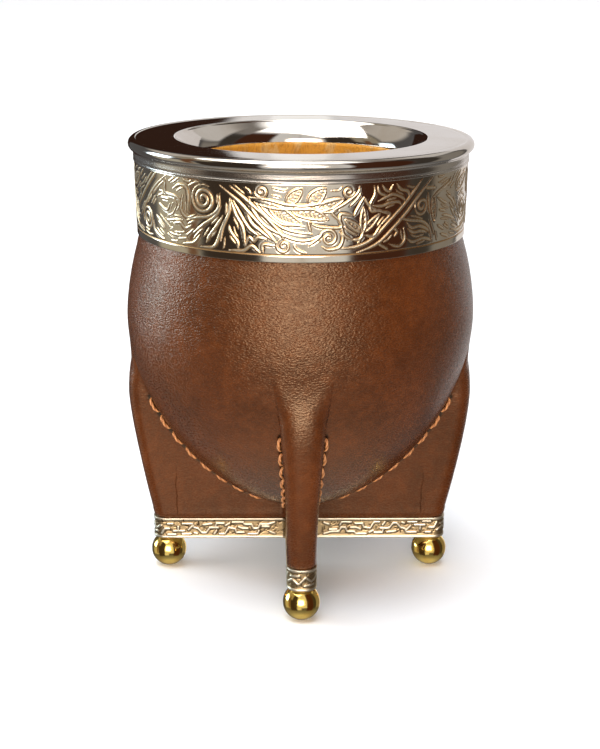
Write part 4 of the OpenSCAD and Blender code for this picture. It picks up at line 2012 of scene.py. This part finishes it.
@dataclass
class Studio:
    """Floor, surroundings, lamps and camera."""

    levels: Levels
    floor_size: float = 30.0
    lens: float = 76.17
    eye: tuple[float, float, float] = (-7.34, -385.9, 164.42)
    pan: float = -1.09
    tilt: float = 73.691
    roll: float = 0.292
    sky: Colour = (3.4, 3.4, 3.4, 1.0)
    glows: tuple[Glow, ...] = (
        # The room: its walls, and the floor nearer and nearer to the cup
        Glow(-190.0, 190.0, -90.0, 62.0, srgb(100, 98, 98), 0.8, 6.0),
        Glow(-190.0, 190.0, -90.0, -38.0, srgb(150, 148, 146), 0.8, 6.0),
        Glow(-190.0, 190.0, -90.0, -62.0, srgb(240, 232, 216), 0.65, 8.0),
        # In front: dark sides and a bright middle with a lamp
        Glow(-72.0, -27.0, -40.0, 60.0, srgb(62, 52, 44), 1.0, 3.0),
        Glow(32.0, 78.0, -40.0, 60.0, srgb(72, 42, 28), 1.0, 4.0),
        Glow(-27.0, 0.0, -34.0, 62.0, srgb(236, 234, 232), 0.95, 3.0),
        Glow(0.0, 32.0, -21.0, 62.0, srgb(236, 234, 232), 0.95, 3.0),
        Glow(-20.0, 12.0, -2.0, 24.0, srgb(255, 236, 220), 14.0, 6.0),
        # On the left: pale walls, a cool lamp and a brown edge
        Glow(-116.0, -74.0, -30.0, 0.0, srgb(204, 198, 180), 0.84, 3.0),
        Glow(-100.0, -64.0, 18.0, 60.0, srgb(170, 160, 140), 0.9, 4.0),
        Glow(-118.0, -98.0, 0.0, 16.0, srgb(216, 238, 255), 19.0, 5.0),
        Glow(-85.0, -76.0, -25.0, 30.0, srgb(120, 84, 58), 1.0, 2.0),
        # On the right: a dark flag and a grey wall
        Glow(78.0, 101.0, -30.0, 50.0, srgb(66, 60, 54), 1.0, 4.0),
        Glow(101.0, 132.0, -30.0, 24.0, srgb(140, 134, 126), 1.0, 4.0),
        # High up and half behind: dimmer panels, which tone the flat top
        Glow(76.0, 150.0, 52.0, 74.0, srgb(140, 134, 129), 1.0, 4.0),
        Glow(-150.0, -84.0, 52.0, 74.0, srgb(164, 156, 148), 1.0, 4.0),
        Glow(104.0, 152.0, 28.0, 58.0, srgb(214, 210, 206), 1.0, 4.0),
        Glow(-152.0, -104.0, 28.0, 58.0, srgb(204, 198, 190), 1.0, 4.0),
        # Behind: a dark strip, then pale walls
        Glow(-178.6, -158.0, -30.0, 30.0, srgb(50, 32, 24), 1.0, 0.4),
        Glow(138.0, 177.7, -30.0, 30.0, srgb(222, 218, 218), 1.12, 0.4),
        Glow(177.7, 190.0, -30.0, 40.0, srgb(250, 248, 246), 1.1, 0.4),
        Glow(-190.0, -178.6, -30.0, 40.0, srgb(236, 232, 230), 1.0, 0.4),
    )

    def floor(self) -> None:
        """Lay the floor."""
        deselect_all()
        bpy.ops.mesh.primitive_plane_add(size=self.floor_size)
        floor = bpy.context.object
        floor.name = "studio_floor"
        floor.data.materials.append(FloorFinish("studio_paper").build())
        floor.visible_glossy = False

    def surroundings(self) -> None:
        """Paint the surroundings that the polished metal reflects."""
        world = bpy.data.worlds.new("studio_surroundings")
        bpy.context.scene.world = world
        world.use_nodes = True
        graph = Graph(world.node_tree)
        axes = graph.add("SeparateXYZ", Vector=graph.add("TexCoord").outputs["Generated"]).outputs
        back = graph.times(axes[1], -1.0)
        round_at = graph.math("DEGREES", graph.math("ARCTAN2", axes[0], back))
        up_at = graph.math("DEGREES", graph.math("ARCSINE", axes[2]))
        colour = self.sky
        for glow in self.glows:
            soft = glow.soft
            share = graph.ramp(round_at, glow.left - soft, glow.left + soft)
            sides = (
                (round_at, glow.right + soft, glow.right - soft),
                (up_at, glow.low - soft, glow.low + soft),
                (up_at, glow.high + soft * 2, glow.high - soft * 2),
            )
            for side in sides:
                share = graph.times(share, graph.ramp(*side))
            colour = graph.mix(share, colour, glow.light)
        graph.feed(world.node_tree.nodes["Background"], Color=colour, Strength=1.0)

    def lamp(self, name: str, place: tuple[float, float, float], size: float, power: float) -> None:
        """Hang a soft square lamp that points at the cup.

        Args:
            name: The lamp's name.
            place: Where it hangs, in metres.
            size: Its side, in metres.
            power: Its power, in watts.
        """
        data = bpy.data.lights.new(name, "AREA")
        data.energy = power
        data.size = size
        lamp = bpy.data.objects.new(name, data)
        bpy.context.scene.collection.objects.link(lamp)
        lamp.location = place
        aim = Vector((0.0, 0.0, self.levels.bowl_z * MM)) - lamp.location
        lamp.rotation_euler = aim.to_track_quat("-Z", "Y").to_euler()

    def camera(self) -> None:
        """Set the camera up."""
        data = bpy.data.cameras.new("studio_camera")
        data.lens = self.lens
        data.sensor_width = 36.0
        camera = bpy.data.objects.new("studio_camera", data)
        bpy.context.scene.collection.objects.link(camera)
        turn = Matrix.Rotation(math.radians(self.pan), 4, "Z")
        turn = turn @ Matrix.Rotation(math.radians(self.tilt), 4, "X")
        turn = turn @ Matrix.Rotation(math.radians(self.roll), 4, "Z")
        camera.matrix_world = Matrix.Translation(Vector(self.eye) * MM) @ turn
        bpy.context.scene.camera = camera

    def build(self) -> None:
        """Set the studio up."""
        self.floor()
        self.surroundings()
        self.lamp("top_lamp", (-0.4, -0.25, 1.5), 1.4, 20.0)
        self.camera()
        scene = bpy.context.scene
        scene.view_settings.view_transform = "Standard"
        scene.view_settings.look = "None"


def main() -> None:
    """Build the cup piece by piece, then the studio round it."""
    logging.basicConfig(level=logging.INFO, format="%(name)s: %(message)s")
    levels = Levels.from_frame()
    form = CoverForm(levels)
    LeatherCover(form).build()
    Stitching(form).build()
    Gourd(levels, form).build()
    Rim(levels).build()
    Collar(levels).build()
    FootTrim(levels).build()
    BallFeet(levels).build()
    Studio(levels).build()


if __name__ == "__main__":
    main()
